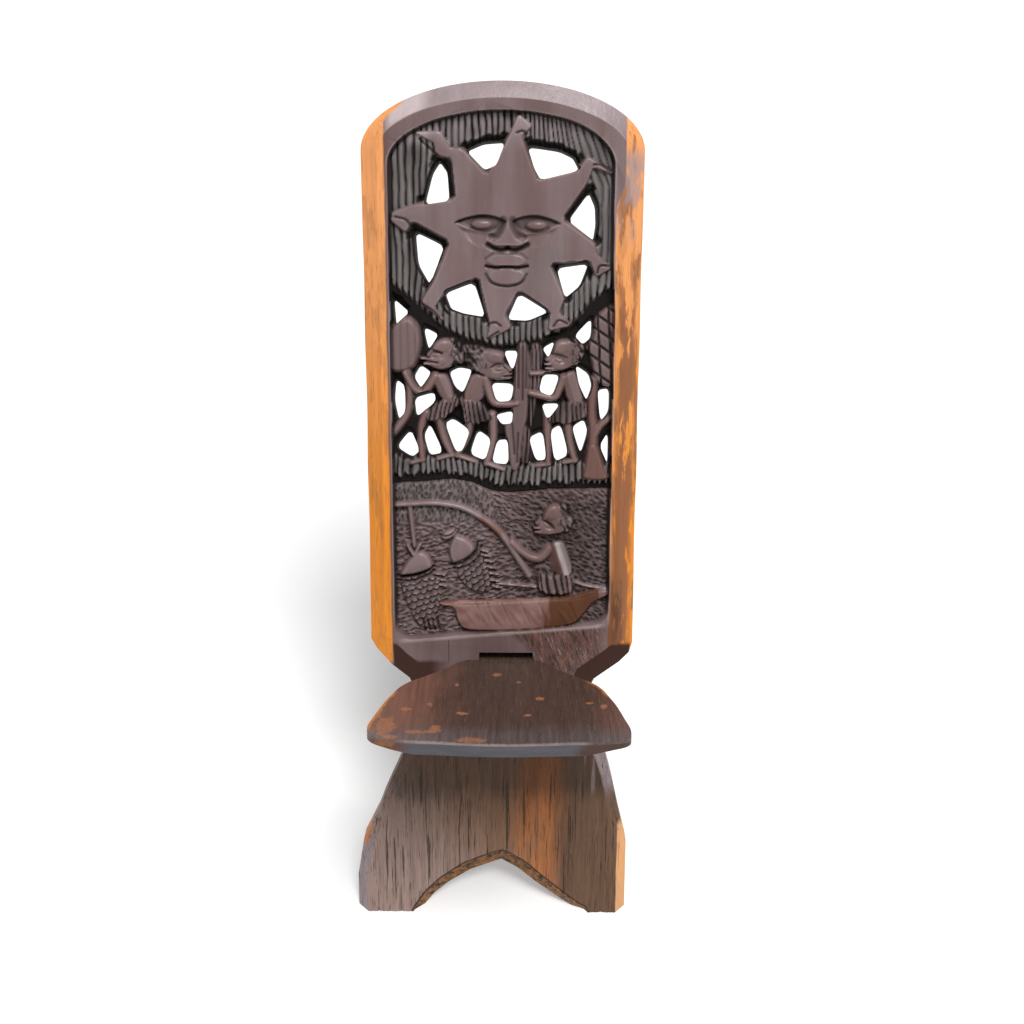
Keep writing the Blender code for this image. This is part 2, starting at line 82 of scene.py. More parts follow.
HALF_SLOT = (SLOT_RIGHT - SLOT_LEFT) / 2
BELOW_BACK = ((-300, -200, -200), (300, 0, 200))
HEWN_INSETS = (0.3, 1.0, 0.4, 1.2, 0.5, 0.9, 0.3)

# Carved field
HALF_FIELD = 131.0
FIELD_TOP = 1008.0
FIELD_FOOT = 383.0
FIELD_CROWN = 60.0
FIELD_CORNER = 20.0
FLOOR = -14.0
GRID = 1.25
GRID_MARGIN = 14.0
LIP_SLOPE = 0.085
LIP_RISE = 2.4
FIELD_ASIDE = 3.2
ASIDE_ACROSS = (60.0, 125.0)
ASIDE_UP = (760.0, 850.0)
FORM_BASE = FLOOR - 1.5
DOME_REACH = 16.0
BLEND = 1.5
STEM_ROUNDNESS = 2.6

# Levels of the carving, measured from the rim
HALO_LEVEL = -8.6
STAR_LEVEL = -5.2
GROUND_LEVEL = -7.6
TREE_LEVEL = -5.4
LIMB_LEVEL = -4.8
BODY_LEVEL = -4.0
FACE_LEVEL = -1.8
LAKE_LEVEL = -4.8
ROD_LEVEL = -5.6
HATCH_PITCH = 7.4
LEAF_PITCH = 8.5
TILE = (13.0, 17.5)
FISH_SCALE = (7.2, 8.6)
NICK_CELL = 5.2

# Piercings: those above the foot of the sun are cut crisper and spread more towards the front
HOLE_GROWTH = 1.6
HOLE_LEVELS = (-62.0, -39.0, -30.0, -22.0, -16.0, -13.0, -10.5, -8.0, -5.5, 20.0)
SUN_FOOT = 783.0
SUN_MIDDLE = 868.0
HOLE_LEAN = 0.05
LEAN_BELOW = 0.0006
FULL_SPREAD = 8.0
SUN_SPREAD = (2.4, 5.5)
VILLAGE_SPREAD = (1.2, 4.0)
SUN_CORNER = 0.12
VILLAGE_CORNER = 0.17

# Seat plank
SEAT_DEPTH = 255.0
HALF_SEAT = 144.5
HALF_SHOULDER = 50.0
SEAT_EDGE = 15.0
SHOULDER_FLAT = 30.0
TONGUE_LEFT, TONGUE_RIGHT = -27.5, 39.5
TONGUE_THICKNESS = 34.0
FIT_GAP = 0.3
FRONT_SLACK = 0.3
CORNER_START = 92.0
THINNEST = 5.0
BELOW_SEAT = ((-300, -900, -400), (300, 900, 0))
SEAT_LEFT_SIDE = ((0.085, 0.44), (0.20, 0.62), (0.31, 0.785), (0.47, 0.885), (0.70, 0.972), (0.84, 1.0),
                  (0.90, 0.97), (0.94, 0.87), (0.98, 0.43))
SEAT_RIGHT_SIDE = ((0.085, 0.44), (0.20, 0.62), (0.31, 0.785), (0.47, 0.885), (0.70, 0.965), (0.88, 1.0),
                   (0.94, 0.97), (0.96, 0.86), (0.985, 0.43))

# Working values for both planks
OVERCUT = 20.0
WELD = 1e-3
NOISE_TABLE = (97, 89)
LONGEST_MITRE = 1.6
CARVED_TURN, PLANK_TURN, SEAT_TURN = 55.0, 22.0, 30.0

# Outlines of the carving
HALO = ((-136, 815), (-112, 803), (-92, 780), (-60, 757), (-20, 743), (20, 743), (60, 755), (92, 778),
        (112, 803), (136, 815), (140, 948), (120, 992), (80, 1014), (0, 1020), (-60, 1010), (-104, 990),
        (-140, 960))
STAR = ((-18, 935), (1, 967), (10, 984), (18, 1003), (33, 991), (21, 979), (29, 957), (39.5, 930),
        (86, 941), (97, 957), (127, 938), (103, 946), (96, 927), (67, 887), (106, 860), (109, 847),
        (127, 832), (109, 822), (102, 841), (53.5, 837.5), (72, 797), (66, 780), (80, 765), (54, 759),
        (57, 781.5), (19, 807.5), (2, 777), (10, 762), (-18, 748), (-14, 766), (-17, 778), (-27, 822.5),
        (-68, 804), (-80, 785), (-69, 770), (-95, 791), (-79, 816), (-59.5, 862), (-104, 885.5), (-112, 872),
        (-129, 885), (-128, 893), (-105, 902), (-53, 908), (-58, 955), (-76, 959), (-78, 972),
        (-100, 983), (-71, 984), (-60, 966), (-46, 965))
GROUND = ((-140, 612), (-106, 603), (-62, 607), (-36, 604), (-4, 594), (46, 599), (88, 603), (140, 602),
          (140, 575), (70, 574), (20, 569), (-6, 572), (-60, 586), (-104, 583), (-140, 580))
SHORE = ((-145, 573), (-100, 575), (-60, 579), (-36, 575), (-12, 564), (10, 562), (60, 567), (145, 568.5),
         (145, 370), (-145, 370))
PIERCINGS = (
    ((-39, 961), (-22, 968), (0, 970), (-9, 948), (-21, 943)),
    ((31, 965), (65, 960), (80, 953), (86, 942), (45, 932), (38, 944)),
    ((79, 885), (100, 914), (106, 900), (107, 880), (105, 864)),
    ((66, 830), (99, 835), (90, 812), (75, 799)),
    ((20, 800), (8, 773), (30, 772), (52, 781)),
    ((-35, 813), (-23, 776), (-46, 780), (-60, 785), (-66, 801)),
    ((-101, 870), (-71, 855), (-83, 822), (-87, 815), (-98, 835)),
    ((-73, 947), (-66.5, 938), (-64.5, 908), (-89, 904), (-80, 936)),
    ((-128, 793), (-113, 779), (-126, 766)),
    ((-93, 761), (-78, 753), (-88, 737)),
    ((-98, 716), (-87, 708), (-98, 692), (-105, 704)),
    ((-127, 699), (-119, 692), (-118, 662), (-125, 654), (-129, 676)),
    ((-105, 678), (-84, 684), (-82, 674), (-103, 657)),
    ((-62, 709), (-52, 714), (-38, 711.5), (-48, 687), (-56, 693)),
    ((3, 734), (17, 734), (12, 713)),
    ((-12, 696), (12, 695), (9, 677), (-6, 676)),
    ((-6, 658), (11, 662), (10, 650), (0, 649)),
    ((50, 738), (61, 745), (55, 729)),
    ((50, 706), (67, 706), (59, 683), (46, 688)),
    ((49, 671), (68, 672), (55, 655)),
    ((89, 717), (102, 708), (106, 694), (101, 678), (93, 696)),
    ((88, 753), (105, 772), (104, 752), (96, 745)),
    ((116, 688), (127, 690), (127, 664), (119, 653)),
    ((-112, 639), (-102, 615), (-110, 609), (-127, 620)),
    ((-88, 646), (-74, 614), (-88, 611), (-94, 634)),
    ((-60, 653), (-41, 639), (-49, 617), (-56, 615), (-68, 648)),
    ((-29, 639), (-15.5, 629), (-22, 605), (-38, 612)),
    ((-5, 627), (5, 628), (6, 600), (-11, 602)),
    ((34, 631), (48, 638), (52, 606), (42, 605)),
    ((60, 640), (70, 646), (79, 611), (65, 604)),
    ((86, 644), (98, 652), (102, 640), (95, 613)),
    ((128, 637), (120, 621), (128, 599)),
)


# Arrays of points

def sides(points):
    """Each point of a closed outline with the one after it."""
    return zip(points, tuple(points[1:]) + (points[0],))


def noise(x, y, cell_x, cell_y, seed):
    """Smooth noise from 0 to 1 with cells of the given size."""
    table = np.random.default_rng(seed).random(NOISE_TABLE)
    columns, rows = NOISE_TABLE
    u, v = x / cell_x, y / cell_y
    i, j = np.floor(u).astype(int), np.floor(v).astype(int)
    fu, fv = u - i, v - j
    fu, fv = fu * fu * (3 - 2 * fu), fv * fv * (3 - 2 * fv)
    i0, i1, j0, j1 = i % columns, (i + 1) % columns, j % rows, (j + 1) % rows
    low = table[i0, j0] * (1 - fu) + table[i1, j0] * fu
    high = table[i0, j1] * (1 - fu) + table[i1, j1] * fu
    return low * (1 - fv) + high * fv


def ramp(value, low, high):
    """0 below low, 1 above high, and smooth between."""
    t = np.clip((value - low) / (high - low), 0.0, 1.0)
    return t * t * (3 - 2 * t)


def rounded(depth, reach, power=2):
    """0 at the edge of a form, 1 from a reach inside it, and round between."""
    return 1 - np.clip(1 - depth / reach, 0.0, 1.0) ** power


def turned(x, s, angle):
    """Coordinates along and across a direction."""
    return x * np.cos(angle) + s * np.sin(angle), s * np.cos(angle) - x * np.sin(angle)


def round_corners(points, times=2, share=0.22):
    """Cut the corners of a closed outline."""
    for _ in range(times):
        cut_points = []
        for (ax, ay), (bx, by) in sides(points):
            cut_points.append((ax + (bx - ax) * share, ay + (by - ay) * share))
            cut_points.append((bx - (bx - ax) * share, by - (by - ay) * share))
        points = tuple(cut_points)
    return points


def grown(points, by):
    """A closed outline moved outward by a distance."""
    area = sum(a[0] * b[1] - b[0] * a[1] for a, b in sides(points))
    by = math.copysign(by, area)
    moved = []
    for before, (here, after) in zip(points[-1:] + points[:-1], sides(points)):
        first, second = math.dist(before, here), math.dist(here, after)
        normal = Vector(((here[1] - before[1]) / first + (after[1] - here[1]) / second,
                         (before[0] - here[0]) / first + (here[0] - after[0]) / second))
        normal *= min(2.0 / normal.length_squared, LONGEST_MITRE / normal.length)
        moved.append((here[0] + normal.x * by, here[1] + normal.y * by))
    return tuple(moved)


def smooth_line(points, steps=6):
    """Points of a smooth curve through the given ones."""
    ends = [points[0]] + list(points) + [points[-1]]
    curve = []
    for a, b, c, d in zip(ends, ends[1:], ends[2:], ends[3:]):
        for k in range(steps):
            t = k / steps
            curve.append(tuple(0.5 * (2 * q + (r - p) * t + (2 * p - 5 * q + 4 * r - w) * t * t
                                      + (3 * q - p - 3 * r + w) * t ** 3)
                               for p, q, r, w in zip(a, b, c, d)))
    curve.append(points[-1])
    return curve


def from_span(x, y, start, end):
    """Distance from a straight span, and how far along it the nearest point is, from 0 to 1."""
    (ax, ay), (bx, by) = start, end
    dx, dy = bx - ax, by - ay
    t = np.clip(((x - ax) * dx + (y - ay) * dy) / (dx * dx + dy * dy), 0.0, 1.0)
    return np.hypot(x - ax - t * dx, y - ay - t * dy), t


def depth_inside(x, y, outline):
    """Distance inside a closed outline, negative outside it."""
    nearest = np.full(x.shape, np.inf)
    within = np.zeros(x.shape, bool)
    for start, end in sides(outline):
        nearest = np.minimum(nearest, from_span(x, y, start, end)[0])
        (ax, ay), (bx, by) = start, end
        if by != ay:
            within ^= ((ay > y) != (by > y)) & (x < ax + (y - ay) * (bx - ax) / (by - ay))
    return np.where(within, nearest, -nearest)


def along_line(x, y, line):
    """Distance from an open line, and how far along it the nearest point is, from 0 to 1."""
    nearest = np.full(x.shape, np.inf)
    share = np.zeros(x.shape)
    spans = [math.dist(a, b) for a, b in zip(line, line[1:])]
    done, total = 0.0, sum(spans)
    for start, end, span in zip(line, line[1:], spans):
        distance, t = from_span(x, y, start, end)
        closer = distance < nearest
        nearest = np.where(closer, distance, nearest)
        share = np.where(closer, (done + t * span) / total, share)
        done += span
    return nearest, share


def scales(u, v, pitch_u, pitch_v):
    """Overlapping scales along u: 0 where one tucks under the next, 1 at its free end."""
    lift = np.zeros(u.shape)
    radius = 0.58 * pitch_v
    row = np.floor(u / pitch_u)
    for ahead in (1, 0, -1, -2):
        line = row + ahead
        shift = 0.5 * (line % 2)
        du = u - line * pitch_u
        dv = v - (np.round(v / pitch_v - shift) + shift) * pitch_v
        on = (np.hypot(np.maximum(du, 0.0), dv) < radius) & (du > -pitch_u)
        rise = np.clip((du + pitch_u) / (pitch_u + radius), 0.0, 1.0) * (1 - 0.35 * (dv / radius) ** 2)
        lift = np.where(on, rise, lift)
    return lift


# The carved field

def arch(half, spring, rise, steps=48):
    turns = [math.pi * k / steps for k in range(steps + 1)]
    return [(half * math.cos(turn), spring + rise * math.sin(turn)) for turn in turns]


def field_outline():
    points = arch(HALF_FIELD, FIELD_TOP - FIELD_CROWN, FIELD_CROWN)
    for side in (-1, 1):
        corner = []
        for k in range(7):
            turn = math.pi / 2 * k / 6
            corner.append((side * (HALF_FIELD - FIELD_CORNER * (1 - math.cos(turn))),
                           FIELD_FOOT + FIELD_CORNER * (1 - math.sin(turn))))
        points += corner if side < 0 else corner[::-1]
    return points


def field_depth(x, s):
    """Distance inside the sunk field, whose lower edge is cut askew and whose upper right side stands in."""
    askew = (LIP_SLOPE * x + LIP_RISE) * ramp(s, 450.0, 405.0)
    aside = FIELD_ASIDE * ramp(x, *ASIDE_ACROSS) * ramp(s, *ASIDE_UP)
    return depth_inside(x + aside, s - askew, field_outline())


def hole_outline(hole, level):
    """Outline of a piercing at a level of the plank. It narrows towards the back and runs down with depth."""
    softness = SUN_CORNER if hole[0][1] > SUN_FOOT else VILLAGE_CORNER
    outline = np.array(round_corners(grown(hole, HOLE_GROWTH), 3, softness))
    low, high = outline.min(0), outline.max(0)
    middle = (low + high) / 2
    lean = HOLE_LEAN + LEAN_BELOW * (SUN_MIDDLE - middle[1])
    spread = SUN_SPREAD if middle[1] > SUN_FOOT else VILLAGE_SPREAD
    share = (level + THICKNESS) / (THICKNESS - FULL_SPREAD)
    wider = spread[0] * share * (outline[:, 0] - middle[0]) * 2 / (high[0] - low[0])
    taller = spread[1] * share * (outline[:, 1] - low[1]) / (high[1] - low[1]) + lean * level
    return np.column_stack((outline[:, 0] + wider, outline[:, 1] + taller)).tolist()


class Relief:
    """Heights, charring and painted shade, and hues of the carved field on a grid of points."""

    def __init__(self):
        side = HALF_FIELD + GRID_MARGIN
        self.across = np.arange(-side, side + GRID, GRID)
        self.up = np.arange(FIELD_FOOT - GRID_MARGIN, FIELD_TOP + GRID_MARGIN + GRID, GRID)
        self.x, self.s = np.meshgrid(self.across, self.up)
        self.height = np.full(self.x.shape, FLOOR)
        # The floor of the field starts fully dark: charring, and painted shade in the depths between the forms.
        self.char_and_shade = np.full(self.x.shape, 1.0)
        self.red = np.zeros(self.x.shape)

    def window(self, points, margin):
        """The part of the grid around some points."""
        xs, ss = zip(*points)
        left, right = np.searchsorted(self.across, (min(xs) - margin, max(xs) + margin))
        low, high = np.searchsorted(self.up, (min(ss) - margin, max(ss) + margin))
        return slice(max(low - 1, 0), high + 1), slice(max(left - 1, 0), right + 1)

    def at(self, where):
        return self.x[where], self.s[where]

    def inside(self, outline, margin=1.0):
        """The part of the grid around an outline, its points and their depth inside."""
        where = self.window(outline, margin)
        x, s = self.at(where)
        return where, x, s, depth_inside(x, s, outline)

    def build(self, where, depth, top, char_and_shade, red):
        """Raise a form where it stands above what is there."""
        height = self.height[where]
        grows = (depth > 0) & (top > height)
        blend = np.where(grows, np.clip(depth / BLEND, 0.0, 1.0), 0.0)
        self.height[where] = np.where(grows, top, height)
        self.char_and_shade[where] = self.char_and_shade[where] * (1 - blend) + char_and_shade * blend
        self.red[where] = self.red[where] * (1 - blend) + red * blend

    def darken(self, where, char_and_shade):
        self.char_and_shade[where] = np.maximum(self.char_and_shade[where], char_and_shade)

    def flat(self, outline, level, edge=3.0, char_and_shade=0.05, red=0.0, dome=0.0, pattern=None, round_times=2,
             ragged=0.0, slope=0.0):
        """Raise a flat or domed form. Its edges are rounded, or slope away outside a crisp outline and get
        painted shade, most where they face down.
        """
        where, x, s, depth = self.inside(round_corners(outline, round_times), 1.0 + ragged + slope)
        if ragged:
            depth += ragged * (2 * noise(x, s, 2.8, 18.0, 13) - 1)
        top = FORM_BASE + (level - FORM_BASE) * rounded(depth, edge)
        if slope:
            away = np.clip(-depth / slope, 0.0, 1.0)
            top = level + (2 * FLOOR - level) * away
            char_and_shade = char_and_shade + np.clip(0.78 + 0.6 * np.gradient(depth, GRID, axis=0), 0.0, 0.94) * away ** 0.36
        top += dome * rounded(depth, DOME_REACH)
        if pattern:
            rise, char_and_shade = pattern(x, s)
            top += rise
        self.build(where, depth + slope, top, char_and_shade, red)

    def prism(self, outline, ridge, level, falls, red, right_red, edge=3.0):
        """Raise a form whose two planes fall away left and right of a ridge, given from its lower end."""
        where, x, s, depth = self.inside(round_corners(outline))
        (ax, ay), (bx, by) = ridge
        side = ((x - ax) * (by - ay) - (s - ay) * (bx - ax)) / math.dist(*ridge)
        # A band just right of the ridge takes the hue right_red: a painted highlight.
        wear_and_gleam = ramp(side, -0.8, 0.8) * (1 - 0.7 * ramp(side, 4.0, 13.0))
        wear_and_gleam *= 0.75 + 0.25 * noise(x, s, 7.0, 18.0, 58)
        side = np.where(side < 0, -side * falls[0], side * falls[1])
        top = level - side ** 2 / (side + 1.0)
        top = FORM_BASE + (top - FORM_BASE) * rounded(depth, edge)
        self.build(where, depth, top, 0.04, red + (right_red - red) * wear_and_gleam)

    def stem(self, points, start, end, level, char_and_shade=0.05, red=0.0):
        """Raise a rounded bar along a line, from one half width to another."""
        line = smooth_line(points)
        where = self.window(line, max(start, end) + 1.0)
        distance, share = along_line(*self.at(where), line)
        radius = start + (end - start) * share
        depth = radius - distance
        top = FORM_BASE + (level - FORM_BASE) * rounded(depth, radius, STEM_ROUNDNESS)
        self.build(where, depth, top, char_and_shade, red)

    def incise(self, points, width, depth, dark):
        """Cut a groove along a line, darkened with painted shade."""
        line = smooth_line(points)
        where = self.window(line, width)
        distance, _ = along_line(*self.at(where), line)
        groove = np.clip(1 - (distance / width) ** 2, 0.0, 1.0)
        self.height[where] -= depth * groove
        self.darken(where, dark * groove)

    def swell(self, centre, half_width, half_height, rise, power=1.0, turn=0.0):
        """Add a rounded swelling, or a hollow where rise is negative."""
        where = self.window((centre,), max(half_width, half_height))
        x, s = self.at(where)
        u, v = turned(x - centre[0], s - centre[1], turn)
        inside = np.clip(1 - (u / half_width) ** 2 - (v / half_height) ** 2, 0.0, 1.0)
        self.height[where] += rise * inside ** power

    def clear_dark(self, centre, half_width, half_height):
        """Clear the charring and painted shade from an oval."""
        where = self.window((centre,), max(half_width, half_height))
        x, s = self.at(where)
        inside = 1 - np.hypot((x - centre[0]) / half_width, (s - centre[1]) / half_height)
        self.char_and_shade[where] *= 1 - ramp(inside, 0.0, 0.25)

    def dark_patch(self, outline, dark):
        """Darken the inside of an outline."""
        where, _, _, depth = self.inside(outline)
        self.darken(where, dark * ramp(depth, 0.0, 4.0))

    def tint(self, outline, red, soft_edge):
        """Change the hue inside an outline."""
        where, _, _, depth = self.inside(outline)
        self.red[where] += red * ramp(depth, 0.0, soft_edge)

    def tilt(self, outline, low_s, high_s, rise, soft_edge):
        """Slope a facet: its height changes by rise from low_s to high_s."""
        where, _, s, depth = self.inside(round_corners(outline))
        slope = np.clip((s - low_s) / (high_s - low_s), 0.0, 1.0)
        self.height[where] += ramp(depth, 0.0, soft_edge) * rise * slope


def hatching(tilt, pitch, cut, low, seed):
    """Pattern of side-by-side strokes of uneven width and depth: gives height, and charring with painted shade
    in the grooves.
    """
    def pattern(x, s):
        u, v = turned(x, s, tilt)
        u = u + 9.0 * (noise(u, v, 24.0, 70.0, seed) - 0.5) + 1.4 * (noise(u, v, 5.0, 14.0, seed + 2) - 0.5)
        stroke = np.floor(u / pitch)
        across = u / pitch - stroke
        peak = 0.35 + 0.3 * noise(stroke + 0.5, v * 0, 1.0, 1.0, seed + 3)
        crest = np.where(across < peak, across / peak, (1 - across) / (1 - peak))
        crest = np.clip(1.9 * crest, 0.0, 1.0) ** 0.8
        uneven = noise(stroke + 0.5, v, 1.0, 24.0, seed + 1)
        facet = 1.3 * (across - 0.5) * np.where(uneven > 0.45, 1.0, -0.6)
        rise = cut * (crest - 1.0) + (2.2 * (uneven - 0.6) + facet) * crest
        return rise, np.clip(low + 1.0 * (0.55 - uneven) + (1.0 - low) * (1 - crest) ** 0.8, 0.0, 1.0)
    return pattern


def tiles(x, s):
    """Slanted tiles parted by thin cuts, which are darkened as painted shade."""
    wide, tall = TILE
    a = (x - 116 + 0.06 * (s - 720) + 1.5 * noise(x, s, 20, 20, 5)) / wide
    b = (s + 0.72 * (x - 107) - 747 + 2.0 * noise(x, s, 20, 20, 6)) / tall
    groove = np.maximum(ramp(wide * np.abs(a - np.round(a)), 1.9, 0.6),
                        ramp(tall * np.abs(b - np.round(b)), 2.4, 0.8))
    return 1.6 * (b - np.floor(b)) - 0.8 - 2.6 * groove, 0.10 + 0.85 * groove


def few_lines(x, s):
    """Flat leaves parted by thin lines, darkened as painted shade."""
    crest = np.abs(np.sin(np.pi * (x + 1.5 * noise(x, s, 9, 60, 8)) / LEAF_PITCH)) ** 0.245
    return 1.2 * (crest - 1.0), 0.12 + 0.5 * (1 - crest)


def curls(x, s):
    """Short tight curls of dark hair, darkest where they lie low, as painted shade."""
    knots = 0.62 * noise(x + 0.5 * s, s - 0.5 * x, 2.3, 6.5, 11) + 0.38 * noise(x, s, 5.0, 3.4, 12)
    return 6.0 * (knots - 0.62), np.clip(2.12 - 2.8 * knots, 0.0, 1.0)


def fish_skin(angle):
    """Pattern of uneven scales whose free ends point along a direction, with painted shade where one tucks
    under the next.
    """
    def pattern(x, s):
        u, v = turned(x, s, angle)
        lift = scales(u + 5.0 * noise(x, s, 9, 9, 15), v + 5.0 * noise(x, s, 9, 9, 16), *FISH_SCALE)
        return 5.2 * (lift - 1.0), np.clip(1.26 - 1.3 * lift, 0.0, 1.0)
    return pattern


def carve_background(relief):
    """Dark floor, hatched sun ring and the slopes that lead into the piercings, with charring and painted
    shade.
    """
    x, s = relief.x, relief.s
    relief.height += 1.2 * (noise(x, s, 5.0, 22.0, 21) - 0.5)
    lean = x + 0.32 * ramp(x, 20, 100) * np.maximum(s - 925, 0.0)
    rise, ring_char_and_shade = hatching(0.0, HATCH_PITCH, 3.4, low=0.04, seed=23)(lean, s)
    depth = depth_inside(x, s, round_corners(HALO)) + 2.2 * rise + 3.0
    top = np.where(depth > 0, FLOOR + (HALO_LEVEL + rise - FLOOR) * ramp(depth, 0.0, 4.0), FLOOR)
    ring_char_and_shade = ring_char_and_shade * (1 - 0.5 * ramp(x, 40, 100)) + 0.10 * ramp(s, 975, 990) * ramp(x, 30, 0)
    relief.build((slice(None), slice(None)), depth, top, ring_char_and_shade, -1.0)
    star = depth_inside(x, s, STAR)
    for hole in PIERCINGS:
        where, hole_x, hole_s, depth = relief.inside(hole_outline(hole, HALO_LEVEL), 12.0)
        away = -depth
        lip = np.clip(1 - away / 3.0, 0.0, 1.0)
        beside = ramp(away, 9.0, 6.0) * ramp(star[where], -11.0, -8.0)
        if hole[0][1] > SUN_FOOT:
            ends = away + 4.0 * noise(hole_x, hole_s, 3.6, 40.0, 24)
            beside = np.maximum(beside, ramp(ends, 8.0, 6.0) * ramp(np.gradient(away, GRID, axis=0), 0.3, 0.7))
        # Lips of the piercings and strips beside the star sink and darken as charring and painted shade; so do
        # the down-facing strips above the holes of the sun.
        relief.height[where] -= 3.0 * lip ** 1.4 + 5.0 * beside
        relief.darken(where, np.clip(1.6 * lip + 0.93 * beside, 0.0, 1.0))


# Each eye of the sun: its hollow, the plane below it, the ball, and the lines below the ball and of the brow
SUN_EYES = (
    (((-57, 884), (-40, 890), (-22, 893), (-6, 890), (6, 884.5), (0, 876), (-10, 871), (-24, 871), (-42, 878)),
     ((-57, 882), (-40, 876), (-20, 872), (-8, 872), (-6, 862), (-14, 855), (-33, 853)),
     (-24, 881.5),
     ((-37, 877.5), (-30, 874.5), (-22, 873), (-14, 874.5), (-8, 878)),
     ((-54, 883), (-40, 888), (-22, 891), (-7, 888.5), (4, 884))),
    (((9, 885), (22, 890), (39, 892), (55, 888), (68, 882), (54, 876), (40, 870), (26, 870), (15, 876)),
     ((68, 880), (54, 875), (38, 871), (24, 871), (20, 862), (26, 855), (48, 852)),
     (39.5, 880.5),
     ((25, 877), (32, 873.5), (39, 872), (47, 873.5), (54, 877)),
     ((12, 884.5), (23, 889), (39, 890.5), (54, 887), (66, 882))),
)
# Cuts at the tips of its rays
RAY_HOOKS = (
    ((-14, 767), (-8, 768), (-2, 764)), ((-5, 757), (-13, 752), (-17, 749)), ((16, 983), (22, 985), (27, 982)),
    ((-74, 958), (-84, 966), (-95, 976)), ((-93, 789), (-82, 782), (-74, 775)),
    ((60, 764), (66, 771), (76, 767)), ((110, 826), (113, 834), (124, 834)),
    ((104, 948), (112, 948), (123, 941)), ((-124, 889), (-112, 886), (-106, 879)),
)


def carve_sun(relief):
    """Sun with flame rays and a face."""
    relief.flat(round_corners(STAR, 1, 0.10), STAR_LEVEL, char_and_shade=0.0, dome=1.2, round_times=0, slope=7.0)
    relief.swell((5, 912), 62, 34, 0.9)
    # The right cheek is tinted grey as a painted sheen; the left cheek is redder.
    relief.tint(((14, 872), (70, 880), (100, 850), (74, 800), (40, 774), (12, 796)), -0.42, 30.0)
    relief.tint(((-18, 852), (-60, 880), (-100, 868), (-74, 800), (-60, 782), (-20, 800)), 0.30, 26.0)
    for hollow, cheek, ball, under, brow in SUN_EYES:
        relief.tilt(cheek, 853, 878, -3.6, 4.0)
        relief.tilt(hollow, 860, 890, -5.4, 2.2)
        # Painted shade in the eye hollow, cleared from the ball, and in the lines under the ball and along the
        # brow.
        relief.dark_patch(hollow, 0.50)
        relief.swell(ball, 13.5, 6.2, 4.8, 0.8)
        relief.clear_dark(ball, 12.5, 5.6)
        relief.incise(under, 2.2, 1.2, 0.7)
        relief.incise(brow, 1.9, 0.8, 0.95)
    for hook in RAY_HOOKS:
        relief.incise(hook, 1.9, 2.2, 0.80)
    # Nose: a wedge that widens to its wings and ends at an undercut
    where = relief.window(((-24, 850), (36, 894)), 1.0)
    x, s = relief.at(where)
    run = np.clip((892 - s) / 34.0, 0.0, 1.0)
    width = 6.0 + 14.0 * run ** 2.2
    wedge = np.clip(1 - (np.abs(x - 6) / width) ** 1.3, 0.0, 1.0)
    relief.height[where] += wedge * (1.0 + 6.4 * run) * (s > 857) * ramp(892 - s, 0, 8)
    # Painted shade down both sides of the nose and in the nostrils; the wings are cleared of it.
    for side in (((1, 885), (-4, 874), (-11, 866)), ((11, 885), (16, 874), (23, 866))):
        relief.incise(side, 6.2, 2.8, 0.66)
    for wing in ((-10, 862), (22, 862)):
        relief.swell(wing, 8, 5, 3.2)
        relief.clear_dark(wing, 7, 4.5)
    for nostril in (((-17, 858), (-9, 854), (-1, 852), (6, 854.5)),
                    ((29, 858), (21, 854), (13, 852), (6, 854.5))):
        relief.incise(nostril, 3.8, 3.4, 0.98)
    # Muzzle and lips, each lip with an upper and a lower plane
    relief.swell((5, 833), 30, 25, 1.8)
    relief.swell((5, 840.5), 25, 7.5, 4.4, 0.5)
    relief.swell((5, 821.5), 24, 9.5, 4.6, 0.5)
    # The cuts between, under and over the lips hold painted shade.
    relief.incise(((-19, 833.5), (-8, 832), (5, 833), (18, 832), (29, 833.5)), 2.3, 4.2, 0.88)
    relief.incise(((-19, 824), (-11, 814), (5, 810.5), (20, 814), (28, 824)), 2.3, 1.6, 0.70)
    relief.incise(((-20, 842), (-8, 849), (5, 847), (18, 849), (29, 842)), 1.8, 1.0, 0.5)


def carve_head(relief, head):
    """Head in profile with a bulging forehead, frizzy hair, an eye in its hollow, nose and lips."""
    relief.flat(head["profile"], BODY_LEVEL, edge=4.0, dome=1.6, char_and_shade=0.03, red=0.3, round_times=1)
    relief.flat(head["hair"], BODY_LEVEL + 2.0, edge=4.0, pattern=curls, ragged=1.6, red=-0.35)
    centre, wide, tall = head["forehead"]
    relief.swell(centre, wide, tall, 2.6, 0.8)
    centre, turn = head["eye"]
    relief.swell(centre, 9.0, 4.8, -3.0, 1.0, turn)
    relief.swell((centre[0], centre[1] - 1.2), 5.8, 2.4, 2.8, 0.8, turn)
    # The cuts of the brow, mouth and ear hold painted shade.
    relief.incise(head["brow"], 1.7, 1.4, 0.85)
    relief.stem(head["nose"], 2.0, 3.2, FACE_LEVEL, char_and_shade=0.02, red=0.1)
    for lip in head["lips"]:
        relief.stem(lip, 2.8, 2.0, FACE_LEVEL - 0.3, char_and_shade=0.02, red=0.15)
    relief.incise(head["mouth"], 1.3, 2.2, 0.95)
    relief.swell(head["cheek"], 8.0, 5.5, 1.6)
    relief.swell(head["ear"], 4.0, 5.0, 2.6)
    ear_x, ear_s = head["ear"]
    relief.incise(((ear_x, ear_s + 2.5), (ear_x, ear_s - 2.5)), 1.5, 1.8, 0.8)


